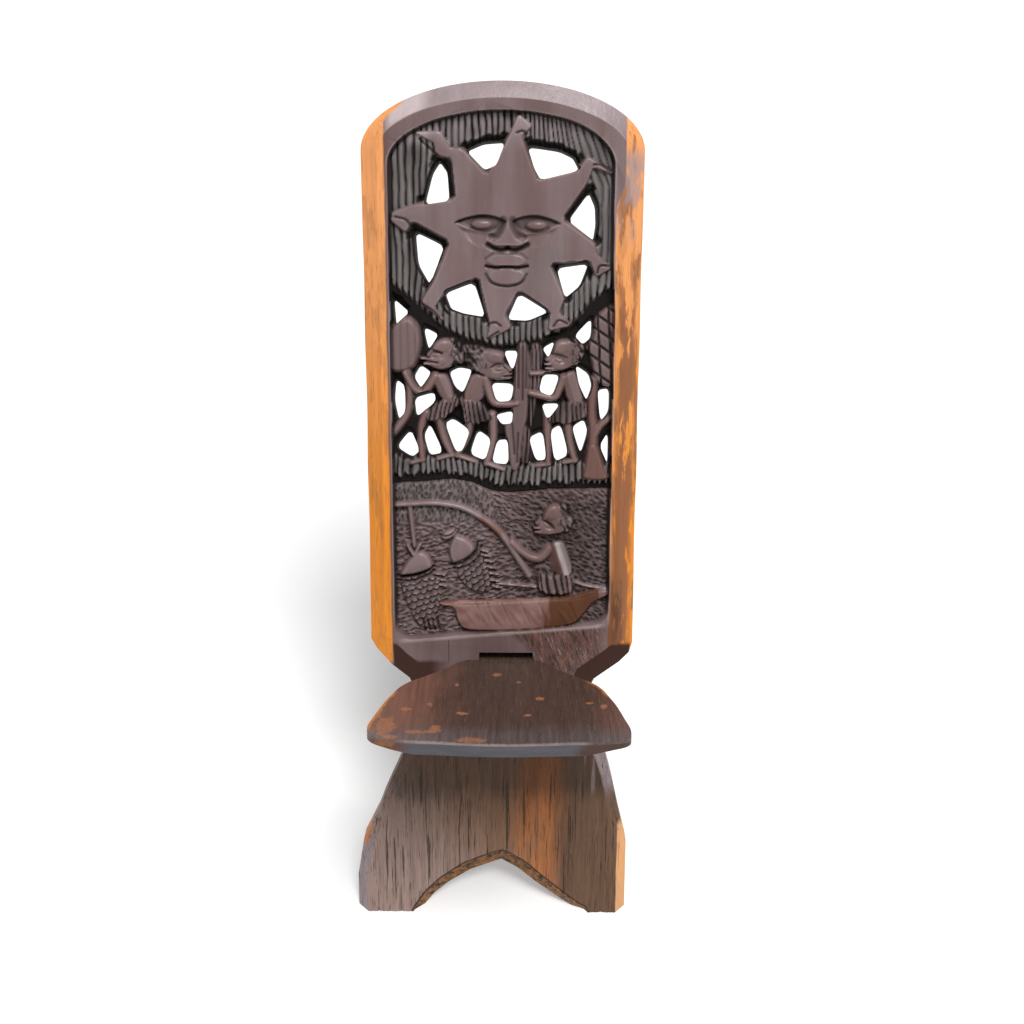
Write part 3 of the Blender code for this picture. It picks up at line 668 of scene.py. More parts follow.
PIPER = dict(
    profile=((-66, 751), (-76, 748), (-82, 742), (-85, 736), (-88.5, 731), (-88, 727.5), (-90, 727),
             (-97, 727.5), (-98, 724.5), (-92, 722.5), (-95, 720.5), (-92, 717), (-86, 715.5), (-80, 712),
             (-70, 710), (-58, 716), (-50, 730), (-54, 746)),
    hair=((-63, 751), (-50, 746), (-44, 734), (-46, 720), (-56, 714), (-64, 718), (-62, 733)),
    forehead=((-73, 741), 12, 9), eye=((-79, 731.5), 0.1), brow=((-85, 735.5), (-79, 735), (-71, 732)),
    nose=((-83, 735), (-87, 729.5)), mouth=((-97, 723.8), (-86, 722), (-76, 721)), cheek=(-73, 722),
    lips=(((-77, 724), (-88, 725.2), (-96, 726)), ((-73, 717.5), (-84, 719), (-92, 719.5))), ear=(-60, 732))
DRUMMER = dict(
    profile=((-16, 738), (0, 735), (3.5, 731), (2.5, 722), (5, 718), (9, 714.5), (13, 711), (10.5, 709),
             (12.5, 707), (11, 705), (12, 702.5), (7, 699.5), (-4, 698.5), (-18, 700), (-28, 708), (-36, 722),
             (-30, 736)),
    hair=((-18, 739), (-34, 741), (-46, 732), (-43, 716), (-32, 706), (-21, 706), (-18, 718), (-20, 730)),
    forehead=((-8, 728), 11, 8), eye=((-4, 715), 0.0), brow=((-13, 715.5), (-7, 719.5), (0, 719.5), (4, 717.5)),
    nose=((3, 718), (9.5, 712.5)), mouth=((12, 705.2), (2, 705)), cheek=(-9, 706),
    lips=(((2, 707), (10.5, 707.5)), ((0, 702.5), (10, 703))), ear=(-19, 718))
DANCER = dict(
    profile=((78, 750), (68, 749.5), (61, 745), (59, 738), (57.5, 732), (53.5, 729), (50.5, 724), (52.5, 721.5),
             (49, 720), (48.5, 717.5), (51, 716.3), (49.5, 713.5), (53, 710.5), (62, 709.5), (76, 711),
             (90, 720), (96, 734), (90, 747)),
    hair=((77, 753), (88, 751), (98, 740), (96, 723), (84, 713), (77, 716), (80, 728), (79, 742)),
    forehead=((68.5, 740), 10.5, 9), eye=((66, 725.5), -0.3), brow=((58, 731.5), (66, 731), (76, 727.5)),
    nose=((57, 730), (52.8, 724.5)), mouth=((48.5, 717), (58, 717)), cheek=(68, 717),
    lips=(((58, 719.8), (50.5, 719.2)), ((60, 714.2), (51.5, 714.4))), ear=(83, 734))
FISHER = dict(
    profile=((62, 551), (54, 546), (50, 539), (47.5, 531), (43.5, 528.5), (40, 524), (42, 521.5), (38, 520),
             (37.5, 517.3), (40.5, 516.2), (38.5, 513.5), (42, 510), (50, 508.5), (64, 509), (76, 512),
             (84, 524), (80, 540), (72, 549)),
    hair=((67, 551), (80, 547), (83, 537), (90, 525), (82, 512), (71, 509), (68, 520), (69, 536)),
    forehead=((59, 539), 11, 10), eye=((56, 523.5), -0.5), brow=((48.5, 529.5), (55, 526.5), (63, 519)),
    nose=((47, 530), (42.5, 524.5)), mouth=((37.5, 516.9), (46, 517)), cheek=(56, 514),
    lips=(((46, 519.6), (39.5, 519.2)), ((47, 514), (40.5, 513.9))), ear=(71, 527))


def carve_village(relief):
    """Trees, the grooved post and three villagers on hatched ground."""
    relief.flat(GROUND, GROUND_LEVEL, edge=4.0, red=-1.0,
                pattern=hatching(0.0, 6.8, 4.6, low=0.05, seed=31), ragged=5.0)
    for outline, lower, edge, tilt, low, seed in (
            (((30, 746), (50, 742), (46, 700), (36, 640), (30, 640)), 0.8, 3.0, 0.05, 0.25, 35),
            (((22, 650), (36, 640), (38, 596), (18, 596)), 1.0, 3.0, -0.05, 0.28, 36),
            (((-50, 742), (-30, 742), (-26, 716), (-46, 718)), 1.4, 4.0, 0.5, 0.5, 37)):
        relief.flat(outline, GROUND_LEVEL - lower, edge=edge, pattern=hatching(tilt, 5.0, 3.0, low, seed))
    relief.flat(((-140, 708), (-140, 758), (-113, 779), (-97, 767), (-93, 742), (-99, 717), (-113, 706)),
                TREE_LEVEL + 1.0, edge=7.0, dome=1.4, red=0.25, pattern=few_lines)
    relief.flat(((107, 778), (140, 798), (140, 690), (118, 692), (107, 701), (103, 728), (96, 738),
                 (106, 752)), TREE_LEVEL + 0.4, edge=5.0, dome=0.8, pattern=tiles)
    relief.stem(((-113, 712), (-110, 682), (-115, 656), (-136, 630)), 6.0, 6.5, TREE_LEVEL, red=0.35)
    relief.stem(((109, 700), (106, 664), (109, 640), (108, 606)), 7.0, 7.5, TREE_LEVEL, red=0.6)
    relief.stem(((109, 632), (118, 646), (136, 660)), 7.0, 5.0, TREE_LEVEL, red=0.45)
    relief.flat(((101, 626), (115, 626), (122, 602), (134, 576), (93, 576), (98, 600)), TREE_LEVEL + 0.8,
                edge=6.0, dome=0.8, red=0.68)
    relief.flat(((14, 746), (34, 746), (32, 655), (27, 640), (22, 588), (9, 588), (6, 620), (0, 646),
                 (12, 662)), LIMB_LEVEL - 0.4, edge=4.0, red=0.15)
    relief.dark_patch(((4, 756), (42, 756), (40, 640), (30, 570), (0, 570), (-6, 640)), 0.24)
    for line in (((19, 744), (19, 690)), ((24, 744), (24, 676)), ((29, 744), (28, 690)),
                 ((12, 648), (15, 610)), ((19, 636), (18, 600))):
        relief.incise(line, 1.8, 1.8, 0.7)
    # Bodies, arms and legs of the three villagers
    for outline, ridge, hue in (
            (((-84, 700), (-78, 709), (-66, 708), (-62, 700), (-57, 686), (-55, 674), (-66, 668), (-74, 678),
              (-80, 690)), ((-62, 676), (-75, 705)), 0.1),
            (((-38, 706), (-30, 710), (-18, 704), (-16, 692), (-19, 680), (-26, 672), (-46, 672), (-47, 684),
              (-42, 694)), ((-41, 676), (-27, 704)), 0.4),
            (((70, 702), (76, 711), (86, 713), (90, 704), (94, 688), (98, 676), (92, 668), (80, 668),
              (73, 684)), ((88, 672), (77, 706)), -0.1)):
        relief.prism(outline, ridge, BODY_LEVEL + 2.0, (0.5, 0.55), red=0.4, right_red=hue)
    for arm in (((-79, 704), (-87, 692), (-94, 684.5), (-104, 689), (-110, 698), (-115, 708)),
                ((-20, 701), (-16, 686), (-10, 673.5), (4, 671), (18, 672)),
                ((73, 703), (67, 688), (62, 679.5), (50, 681), (33, 685))):
        relief.stem(arm, 7.4, 5.4, LIMB_LEVEL + 2.4, red=0.4)
    for leg in (((-90, 660), (-97, 640), (-96, 602)), ((-77, 658), (-70, 630), (-60, 608)),
                ((-36, 658), (-43, 630), (-54, 608)), ((-12, 658), (-11, 628), (-19, 598)),
                ((54, 658), (54, 630), (55, 598)), ((77, 660), (80, 630), (87, 602))):
        relief.stem(leg, 6.8, 5.0, LIMB_LEVEL, red=0.4)
    for foot in (((-95, 603), (-109, 599)), ((-60, 609), (-77, 604)), ((-53, 608), (-33, 601)),
                 ((-19, 599), (2, 591)), ((56, 598), (41, 596)), ((88, 603), (74, 600))):
        relief.stem(foot, 4.6, 3.6, LIMB_LEVEL, red=0.1)
    for skirt, tilt, low, seed in (
            (((-96, 654), (-80, 674), (-54, 684), (-47, 672), (-62, 657), (-80, 648)), -0.30, 0.15, 41),
            (((-54, 682), (-28, 676), (-8, 655), (-22, 646), (-46, 648), (-50, 668)), 0.20, 0.30, 43),
            (((62, 674), (99, 680), (104, 656), (84, 646), (48, 650)), 0.05, 0.33, 45)):
        relief.flat(skirt, BODY_LEVEL + 2.8, pattern=hatching(tilt, 5.2, 3.0, low, seed), ragged=2.0)
    relief.stem(((56, 710), (46, 708.5), (34, 708)), 3.4, 4.2, LIMB_LEVEL + 1.6, red=0.2)
    for head in (PIPER, DRUMMER, DANCER):
        carve_head(relief, head)
    relief.dark_patch(round_corners(DRUMMER["profile"]), 0.20)


def nicks(x, s):
    """Depth of short chisel nicks scattered over the water: upright at the upper left, slanted at the right."""
    table = np.random.default_rng(54).random((5, *NOISE_TABLE))
    columns, rows = NOISE_TABLE
    column, row = np.floor(x / NICK_CELL).astype(int), np.floor(s / NICK_CELL).astype(int)
    deepest = np.zeros(x.shape)
    for aside in (-1, 0, 1):
        for above in (-1, 0, 1):
            i, j = column + aside, row + above
            jitter_x, jitter_s, turn, length, width = table[:, i % columns, j % rows]
            middle_x, middle_s = (i + jitter_x) * NICK_CELL, (j + jitter_s) * NICK_CELL
            slanted = middle_x > 15 + 0.5 * (500 - middle_s)
            angle = np.where(slanted, -0.62, np.where(middle_s > 525, 1.35, 0.08)) + 0.9 * (turn - 0.5)
            p, q = turned(x - middle_x, s - middle_s, angle)
            reach = (p / (3.4 + 3.0 * length)) ** 2 + (q / (1.5 + 0.9 * width)) ** 2
            deepest = np.maximum(deepest, np.clip(1 - reach, 0.0, 1.0) * (0.5 + 0.5 * turn))
    return deepest


def carve_lake(relief):
    """Chiselled water with a fisher in a canoe, the rod and line, and two fish."""
    x, s = relief.x, relief.s
    depth = depth_inside(x, s, SHORE)
    wet = depth > 0
    scoop = nicks(x, s)
    water = FLOOR + 4.0 - 2.8 * scoop ** 0.8
    relief.height = np.where(wet, FLOOR - 3 + (water - FLOOR + 3) * ramp(depth, 0.0, 3.0), relief.height)
    right = ramp(x, -20, 60) * ramp(s, 575, 540)
    # The water darkens towards the right, and in each nick as painted shade.
    relief.char_and_shade = np.where(wet, 0.16 + 0.26 * right + 0.62 * scoop, relief.char_and_shade)
    calm = ramp(s, 500, 540) * ramp(x, 0, -40)
    relief.red = np.where(wet, 0.16 * (1 - right) - 0.75 * calm, relief.red)
    # Fish
    relief.flat(((-127, 455), (-106, 458), (-86, 468), (-75, 455), (-71, 438), (-74, 415), (-82, 404),
                 (-72, 386), (-104, 386), (-116, 412), (-126, 436)),
                LAKE_LEVEL - 0.6, edge=5.0, dome=1.2, red=0.1, pattern=fish_skin(-1.30))
    relief.flat(((-129, 455), (-121, 472), (-110, 486), (-99, 492), (-89, 486), (-83, 474), (-84, 466),
                 (-95, 461), (-110, 457)), LAKE_LEVEL + 1.0, edge=5.5, dome=2.8, char_and_shade=0.0, round_times=3)
    for lower in (0.0, 5.0):
        relief.incise(((-130, 455 - lower), (-112, 456 - lower), (-97, 460 - lower), (-83, 469 - lower)),
                      1.9, 2.8, 0.95)
    for tail in ((-98, 402), (-92, 402), (-86, 401), (-80, 401)):
        relief.incise((tail, (tail[0] + 3, 386)), 1.8, 2.4, 0.85)
    relief.flat(((-62, 474), (-51, 477), (-38, 484), (-28, 497), (-18, 478), (-11, 456), (-13, 434), (-26, 433),
                 (-40, 436), (-56, 454)), LAKE_LEVEL - 0.6, edge=5.0, dome=1.2, red=0.1,
                pattern=fish_skin(-0.80))
    relief.flat(((-77, 506), (-70, 515), (-60, 518), (-53, 517), (-55, 508), (-63, 502), (-71, 501)),
                LAKE_LEVEL - 0.2, edge=4.0, dome=1.0, char_and_shade=0.0)
    relief.flat(((-58, 513), (-43, 508), (-33, 499), (-31, 490), (-37, 482), (-48, 475), (-60, 471), (-65, 478),
                 (-67, 491), (-63, 503)), LAKE_LEVEL + 0.8, edge=5.5, dome=2.4, char_and_shade=0.0, red=0.2,
                round_times=3)
    relief.incise(((-78, 510), (-70, 508), (-62, 510), (-56, 516)), 1.5, 2.0, 0.8)
    for lower in (0.0, 4.4):
        relief.incise(((-30 + lower, 499 - lower), (-32 + lower, 488 - lower), (-46 + lower, 475 - lower),
                       (-64 + lower, 470 - lower)), 1.8, 2.6, 0.95)
    for left, right, height in (
            (-25, -17, 490), (-24, -14, 484), (-21, -10, 477), (-18, -7, 469), (-15, -4, 461), (-13, -2, 452),
            (-11, 0, 444), (-82, -70, 460), (-79, -69, 453), (-77, -68, 446)):
        relief.stem(((left, height), (right, height - 2)), 2.4, 1.8, LAKE_LEVEL - 0.4, char_and_shade=0.0)
    # Rod, line and hook
    relief.stem(((-140, 546), (-108, 548), (-80, 549), (-50, 544), (-25, 531), (-4, 514), (12, 492),
                 (33, 458)), 4.8, 6.2, ROD_LEVEL + 1.4, char_and_shade=0.0, red=-0.25)
    relief.tint(((-38, 532), (-24, 542), (8, 517), (4, 498), (-16, 506)), 1.0, 11.0)
    relief.stem(((-112, 546), (-107, 494)), 4.8, 3.6, ROD_LEVEL - 0.4)
    for barb in ((-115, 496), (-100, 497)):
        relief.stem(((-107, 483), barb), 3.9, 3.0, LAKE_LEVEL + 2.6)
    # Canoe with its far side, and the fisher
    relief.stem(((-6, 447), (42, 443)), 3.2, 3.2, ROD_LEVEL - 1.4)
    relief.stem(((86, 452), (104, 445), (136, 441)), 3.6, 3.2, ROD_LEVEL - 0.8)
    relief.flat(((-80, 426), (-77, 417), (-60, 416), (-57, 399), (-48, 385), (0, 384), (60, 388), (92, 394),
                 (104, 410), (114, 424), (136, 433), (136, 444), (110, 442), (92, 434), (50, 431), (0, 428)),
                LAKE_LEVEL + 0.6, edge=4.6, dome=1.6, red=0.55)
    stern = ramp(x - 0.25 * (s - 410) + 16 * noise(x, s, 3.4, 11.0, 60), 34, 82)
    hue = 2.0 - np.maximum(stern, 0.7 * noise(x, s, 16.0, 9.0, 59))
    relief.red = np.where((relief.red > 0.5) & (s < 450) & (x < 120), hue, relief.red)
    for start in (-38, -24, -6, 18, 40, 78):
        relief.swell((start, 405), 15, 3.4, 0.9, 1.0, -0.95)
        relief.incise(((start + 5, 424), (start + 17, 398)), 1.3, 0.7, 0.25)
    relief.incise(((-74, 423), (-40, 421.5), (0, 424), (50, 427), (92, 430), (116, 438)), 1.6, 0.9, 0.3)
    # The fisher's body: its right facet takes a pale hue, a painted highlight.
    relief.prism(((54, 494), (62, 503), (76, 503), (82, 486), (87, 470), (86, 458), (64, 458), (57, 470)),
                 ((76, 460), (63, 502)), BODY_LEVEL + 3.4, (0.9, 0.5), edge=1.8, red=0.7, right_red=-1.9)
    relief.stem(((58, 493), (53, 486), (45, 480), (34, 482), (22, 490), (12, 500)), 8.2, 6.8, LIMB_LEVEL + 1.9,
                red=0.3)
    relief.flat(((42, 464), (62, 459), (88, 463), (90, 446), (88, 434), (44, 434)), LAKE_LEVEL + 3.8, edge=3.0,
                pattern=hatching(0.16, 6.4, 4.0, low=0.10, seed=57), ragged=1.6)
    carve_head(relief, FISHER)


def carve_field():
    relief = Relief()
    carve_background(relief)
    carve_sun(relief)
    carve_village(relief)
    carve_lake(relief)
    # Tool marks, then the wall of the sunk field, which rises through the face of the plank and is darkened as
    # painted shade except along its lower edge
    x, s = relief.x, relief.s
    relief.height += 0.5 * (noise(x, s, 7.0, 16.0, 61) - 0.5)
    depth = field_depth(x, s)
    depth += 1.2 * (noise(x, s, 26.0, 30.0, 62) - 0.5)
    low = ramp(s - LIP_SLOPE * x - LIP_RISE, 420, 392)
    wall = -depth * (5.6 - 3.0 * low) - 5.0 * (1 - 0.7 * low)
    dark = 0.75 * (1 - low) * ramp(depth, -1.6, 0.6)
    relief.char_and_shade = np.where(depth < 3.5, np.maximum(relief.char_and_shade * (1 - low), dark), relief.char_and_shade)
    relief.char_and_shade = np.where(depth < -0.4, 0.0, relief.char_and_shade)
    relief.red = np.where(depth < 1.5, 0.0, relief.red)
    relief.height = np.where(depth < 5.0, np.maximum(relief.height, np.minimum(wall, 6.0)), relief.height)
    relief.height = np.minimum(relief.height, np.where(depth > 1.0, -0.6, 6.0))
    return relief


def blurred(values, times):
    """A grid of values, each evened out with its neighbours."""
    for _ in range(times):
        wide = np.pad(values, 1, mode="edge")
        values = (wide[:-2, 1:-1] + wide[2:, 1:-1] + wide[1:-1, :-2] + wide[1:-1, 2:] + values) / 5
    return values


# Solids

def as_object(name, data):
    made = bpy.data.objects.new(name, data)
    bpy.context.scene.collection.objects.link(made)
    return made


@contextmanager
def editing(mesh):
    """A mesh opened for work on its faces."""
    work = bmesh.new()
    work.from_mesh(mesh)
    yield work
    work.to_mesh(mesh)
    work.free()


def grid_solid(name, across, up, heights, lid):
    """Closed solid between a grid of heights and a flat lid."""
    rows, columns = heights.shape
    xs, ys = np.meshgrid(across, up)
    index = np.arange(rows * columns).reshape(rows, columns)
    ring = np.concatenate((index[0, :-1], index[:-1, -1], index[-1, :0:-1], index[:0:-1, 0]))
    points = np.column_stack((xs.ravel(), ys.ravel(), heights.ravel()))
    rim = points[ring].copy()
    rim[:, 2] = lid
    top = rows * columns + np.arange(len(ring))
    quads = np.stack((index[:-1, :-1], index[1:, :-1], index[1:, 1:], index[:-1, 1:]), -1).reshape(-1, 4)
    walls = np.stack((ring, np.roll(ring, -1), np.roll(top, -1), top), -1)
    faces = np.concatenate((quads, walls)).tolist() + [top.tolist()]
    if lid < heights.min():
        faces = [face[::-1] for face in faces]
    mesh = bpy.data.meshes.new(name)
    mesh.from_pydata(np.concatenate((points, rim)).tolist(), [], faces)
    return as_object(name, mesh)


def slab(name, points, low, high, steps):
    """Flat solid between two levels. Points marked True are rounded, the others are corners."""
    curve = bpy.data.curves.new(name, "CURVE")
    curve.dimensions = "2D"
    curve.fill_mode = "BOTH"
    curve.extrude = (high - low) / 2
    curve.resolution_u = steps
    spline = curve.splines.new("BEZIER")
    spline.bezier_points.add(len(points) - 1)
    for knot, point in zip(spline.bezier_points, points):
        knot.co = (point[0], point[1], 0.0)
        kind = "AUTO" if len(point) > 2 else "VECTOR"
        knot.handle_left_type = knot.handle_right_type = kind
    spline.use_cyclic_u = True
    drawn = as_object(name, curve)
    settled = settle(drawn)
    settled.transform(Matrix.Translation((0.0, 0.0, (high + low) / 2)))
    with editing(settled) as work:
        bmesh.ops.remove_doubles(work, verts=work.verts, dist=WELD)
        bmesh.ops.recalc_face_normals(work, faces=work.faces)
    bpy.data.objects.remove(drawn)
    bpy.data.curves.remove(curve)
    return as_object(name, settled)


def settle(piece):
    """The mesh of an object with its modifiers applied."""
    bpy.context.view_layer.update()
    return bpy.data.meshes.new_from_object(piece.evaluated_get(bpy.context.evaluated_depsgraph_get()))


def apply_modifiers(piece):
    mesh = settle(piece)
    old = piece.data
    piece.modifiers.clear()
    piece.data = mesh
    bpy.data.meshes.remove(old)


def cut(piece, tool):
    """Cut a closed tool out of a piece and remove the tool."""
    step = piece.modifiers.new("cut", "BOOLEAN")
    step.operation = "DIFFERENCE"
    step.solver = "MANIFOLD"
    step.object = tool
    apply_modifiers(piece)
    mesh = tool.data
    bpy.data.objects.remove(tool)
    bpy.data.meshes.remove(mesh)


def block(name, low, high, turn=None):
    mesh = bpy.data.meshes.new(name)
    middle = (Vector(low) + Vector(high)) / 2
    place = Matrix.Translation(middle) @ Matrix.Diagonal((*(Vector(high) - Vector(low)), 1.0))
    with editing(mesh) as work:
        bmesh.ops.create_cube(work, size=1.0, matrix=turn @ place if turn else place)
    return as_object(name, mesh)


def ease_edges(piece, width, angle):
    edge = piece.modifiers.new("eased", "BEVEL")
    edge.width = width
    edge.segments = 2
    edge.limit_method = "ANGLE"
    edge.angle_limit = math.radians(angle)
    apply_modifiers(piece)


# Back plank

def hewn_side(side):
    """Points up one side of the panel, slightly uneven as an adze leaves it."""
    step = (LENGTH - CROWN_RISE - PANEL_FOOT) / (len(HEWN_INSETS) + 1)
    return [(side * (HALF_PANEL - inset), PANEL_FOOT + step * k, True)
            for k, inset in enumerate(HEWN_INSETS, 1)]


def arch_edge():
    """Points along the edge of the arch, from its left foot to its right one."""
    left = [(ARCH_LEFT * wide, ARCH_RISE * high) for wide, high in ARCH_LEFT_SIDE]
    right = [(ARCH_RIGHT * wide, ARCH_RISE * high) for wide, high in ARCH_RIGHT_SIDE]
    return left + [(0.0, ARCH_RISE)] + right


def plank_outline():
    sole = -2 * OVERCUT
    low_corner = PANEL_FOOT - CORNER_DROP
    points = arch(HALF_PANEL, LENGTH - CROWN_RISE, CROWN_RISE)
    points += hewn_side(-1)[::-1]
    points += [(-HALF_PANEL, PANEL_FOOT), (-HALF_PANEL + CORNER_RUN * 0.16, PANEL_FOOT - CORNER_DROP * 0.26)]
    points += [(-136.8, 339.4), (-HALF_PANEL + CORNER_RUN, low_corner), (-WAIST, WAIST_HEIGHT, True)]
    points += [(FOOT_LEFT * 0.85, ANKLE * 1.4), (FOOT_LEFT * 0.955, ANKLE), (FOOT_LEFT, ANKLE * 0.5)]
    points += [(FOOT_LEFT, sole), (ARCH_LEFT, sole)] + arch_edge()
    points += [(ARCH_RIGHT, sole), (FOOT_RIGHT, sole), (FOOT_RIGHT, ANKLE * 0.6), (FOOT_RIGHT, ANKLE)]
    points += [(FOOT_RIGHT * 0.945, ANKLE * 1.35), (135.0, 208.0, True), (WAIST, WAIST_HEIGHT, True)]
    points += [(HALF_PANEL - CORNER_RUN, low_corner), (146.5, 345.0), (158.5, 357.5), (HALF_PANEL, 371.0)]
    return points + hewn_side(1)


def chamfer_share(x, s):
    """Share of the full chamfer that the front face has at a point of its edge."""
    if s > WAIST_HEIGHT + 5:
        return 1.0 + 0.5 * min(max(PANEL_FOOT + 6 - s, 0.0) / 24.0, 1.0)
    if abs(x) < 118 and s < ARCH_RISE + 2:
        return 0.55 + 0.45 * max(s, 0.0) / ARCH_RISE
    return 0.72


def chamfer(mesh, upward, width, depth):
    """Draw in the edge of one face of a slab all round and raise the face."""
    with editing(mesh) as work:
        work.normal_update()
        faces = [face for face in work.faces if face.normal.z * upward > 0.99]
        whole = bmesh.ops.dissolve_faces(work, faces=faces)["region"]
        bmesh.ops.inset_region(work, faces=whole, thickness=width, depth=depth, use_even_offset=True)
        for vert in whole[0].verts if upward > 0 else ():
            outer = [edge.other_vert(vert) for edge in vert.link_edges]
            outer = [other for other in outer if other.co.z < vert.co.z - 1.0]
            if outer:
                share = chamfer_share(outer[0].co.x, outer[0].co.y)
                vert.co.xy = outer[0].co.xy + (vert.co.xy - outer[0].co.xy) * share


def arch_band(x, s):
    """How far a point of the foot lies inside the cut that runs along the arch."""
    edge = [(ARCH_LEFT, -OVERCUT)] + arch_edge() + [(ARCH_RIGHT, -OVERCUT)]
    distance, share = along_line(x, s, edge)
    distance = np.where(depth_inside(x, s, edge) > 0, 0.0, distance)
    return CHAMFER_WIDTH * (0.50 + 0.40 * np.sin(np.pi * share)) - distance


def foot_stamp():
    """Weathered grain of the foot: long shallow furrows along the plank."""
    across = np.arange(-200.0, 190.0, 1.5)
    up = np.arange(-30.0, FOOT_TOP, 8.0)
    x, s = np.meshgrid(across, up)
    furrow = noise(x, s, 2.6, 70.0, 71)
    crack = np.clip(noise(x, s, 3.4, 46.0, 72) - 0.80, 0.0, 1.0) / 0.2
    wave = noise(x, s, 60.0, 80.0, 73)
    wear_and_gleam = ramp(300 - s, 0, 40)
    heights = -wear_and_gleam * (0.5 * furrow + 1.5 * crack + 0.9 * wave) + 2.0 * (1 - ramp(FOOT_TOP - s, 0, 14))
    return grid_solid("foot_stamp", across, up, heights, OVERCUT)


def back_stamp():
    """Adze marks on the back of the plank."""
    across = np.arange(-200.0, 196.0, 6.0)
    up = np.arange(-60.0, LENGTH + 20.0, 6.0)
    x, s = np.meshgrid(across, up)
    column = np.floor(x / ADZE_WIDTH)
    along = s / ADZE_LENGTH + noise(column * 3.1 + 50, column, 1.0, 1.0, 75) * 3
    scoop = (1 - (2 * (x / ADZE_WIDTH - column) - 1) ** 2) * (1 - (2 * (along - np.floor(along)) - 1) ** 2)
    heights = -THICKNESS + 0.2 + 0.9 * scoop + 0.6 * noise(x, s, 50.0, 90.0, 76)
    return grid_solid("back_stamp", across, up, heights, -THICKNESS - OVERCUT)


def piercing_tool():
    mesh = bpy.data.meshes.new("piercings")
    with editing(mesh) as work:
        for hole in PIERCINGS:
            rings = [[work.verts.new((x, s, level)) for x, s in hole_outline(hole, level)]
                     for level in HOLE_LEVELS]
            work.faces.new(rings[0])
            work.faces.new(rings[-1])
            for low, high in zip(rings, rings[1:]):
                for (low_here, low_next), (high_here, high_next) in zip(sides(low), sides(high)):
                    work.faces.new((low_here, low_next, high_next, high_here))
        bmesh.ops.recalc_face_normals(work, faces=work.faces)
    return as_object("piercings", mesh)


def sample(relief, values, x, s):
    """Values of a grid at points of the plank."""
    column = np.clip((x - relief.across[0]) / GRID, 0, len(relief.across) - 1.001)
    row = np.clip((s - relief.up[0]) / GRID, 0, len(relief.up) - 1.001)
    i, j = row.astype(int), column.astype(int)
    fi, fj = row - i, column - j
    low = values[i, j] * (1 - fj) + values[i, j + 1] * fj
    high = values[i + 1, j] * (1 - fj) + values[i + 1, j + 1] * fj
    return low * (1 - fi) + high * fi


def store(mesh, name, values):
    """Keep a number or a vector with each point of a mesh."""
    kind, member = ("FLOAT", "value") if values.ndim == 1 else ("FLOAT_VECTOR", "vector")
    layer = mesh.attributes.new(name, kind, "POINT")
    layer.data.foreach_set(member, np.ascontiguousarray(values, dtype=np.float32).ravel())


def points_of(mesh):
    points = np.empty(len(mesh.vertices) * 3, dtype=np.float32)
    mesh.vertices.foreach_get("co", points)
    return points.reshape(-1, 3)


def finish_shading(mesh, limit):
    """Smooth shading with sharp edges where faces turn by more than the limit of an edge, in degrees."""
    with editing(mesh) as work:
        for face in work.faces:
            face.smooth = True
        for edge in work.edges:
            edge.smooth = edge.calc_face_angle(0.0) < math.radians(limit(edge))


def back_plank(relief):
    plank = slab("carved_back", plank_outline(), BACK_CHAMFER - THICKNESS, -CHAMFER_DEPTH, 8)
    chamfer(plank.data, 1, CHAMFER_WIDTH, CHAMFER_DEPTH)
    chamfer(plank.data, -1, BACK_CHAMFER, BACK_CHAMFER)
    cut(plank, foot_stamp())
    cut(plank, back_stamp())
    cut(plank, grid_solid("field_stamp", relief.across, relief.up, relief.height, OVERCUT))
    cut(plank, piercing_tool())
    cut(plank, block("slot", (SLOT_LEFT, SLOT_FOOT, -THICKNESS - OVERCUT), (SLOT_RIGHT, SLOT_TOP, OVERCUT)))
    cut(plank, block("floor", *BELOW_BACK, Matrix.Rotation(-LEAN, 4, "X").inverted()))
    return plank


def edge_limit(edge):
    """Turn from which an edge of the back plank is sharp: more in the carving than elsewhere."""
    low, high = sorted(vert.co.z for vert in edge.verts)
    start = edge.verts[0].co
    carved = low > FLOOR + 0.5 and high < -0.4 and abs(start.x) < HALF_FIELD and start.y > FIELD_FOOT
    return CARVED_TURN if carved else PLANK_TURN


def finish_back(plank, relief):
    """Keep the charring and painted shade, hollows, hue and arch cut of each point for the material, and shade
    the plank.
    """
    mesh = plank.data
    points = points_of(mesh)
    x, s, n = points.T
    inside = field_depth(x, s) > -3.0
    on_wall = inside & (n < sample(relief, relief.height, x, s) - 1.5)
    behind = n < 2.5 - THICKNESS
    in_slot = (np.abs(x - SLOT_MIDDLE) < HALF_SLOT + 1.1) & (s > SLOT_FOOT - 5.7) & (s < SLOT_TOP + 0.5)
    in_slot &= (n < -1.5) & (n > 6 - THICKNESS)
    char_and_shade = np.where(inside, sample(relief, relief.char_and_shade, x, s), 0.0)
    # Walls of the piercings get charring and painted shade, darkest towards the front, and the inside of the
    # slot is painted dark as shade.
    char_and_shade = np.where(on_wall, 0.66 + 0.30 * ramp(n, -40.0, -14.0), char_and_shade)
    char_and_shade = np.where(behind, 0.20, char_and_shade)
    red = np.where(on_wall, 1.0, np.where(inside, sample(relief, relief.red, x, s), 0.0))
    # How far each point lies below its neighbours, for painted shade in hollows and a painted highlight on
    # raised parts.
    hollow = blurred(relief.height, 14) - relief.height
    store(mesh, "char_and_shade", np.where(in_slot, 1.0, char_and_shade))
    store(mesh, "hollow", np.where(inside & ~on_wall, sample(relief, hollow, x, s), 0.0))
    store(mesh, "red", np.where(behind, 0.0, red))
    store(mesh, "arch", np.where(s < 140.0, arch_band(x, s), -50.0))
    store(mesh, "place", points)
    finish_shading(mesh, edge_limit)


# Seat plank

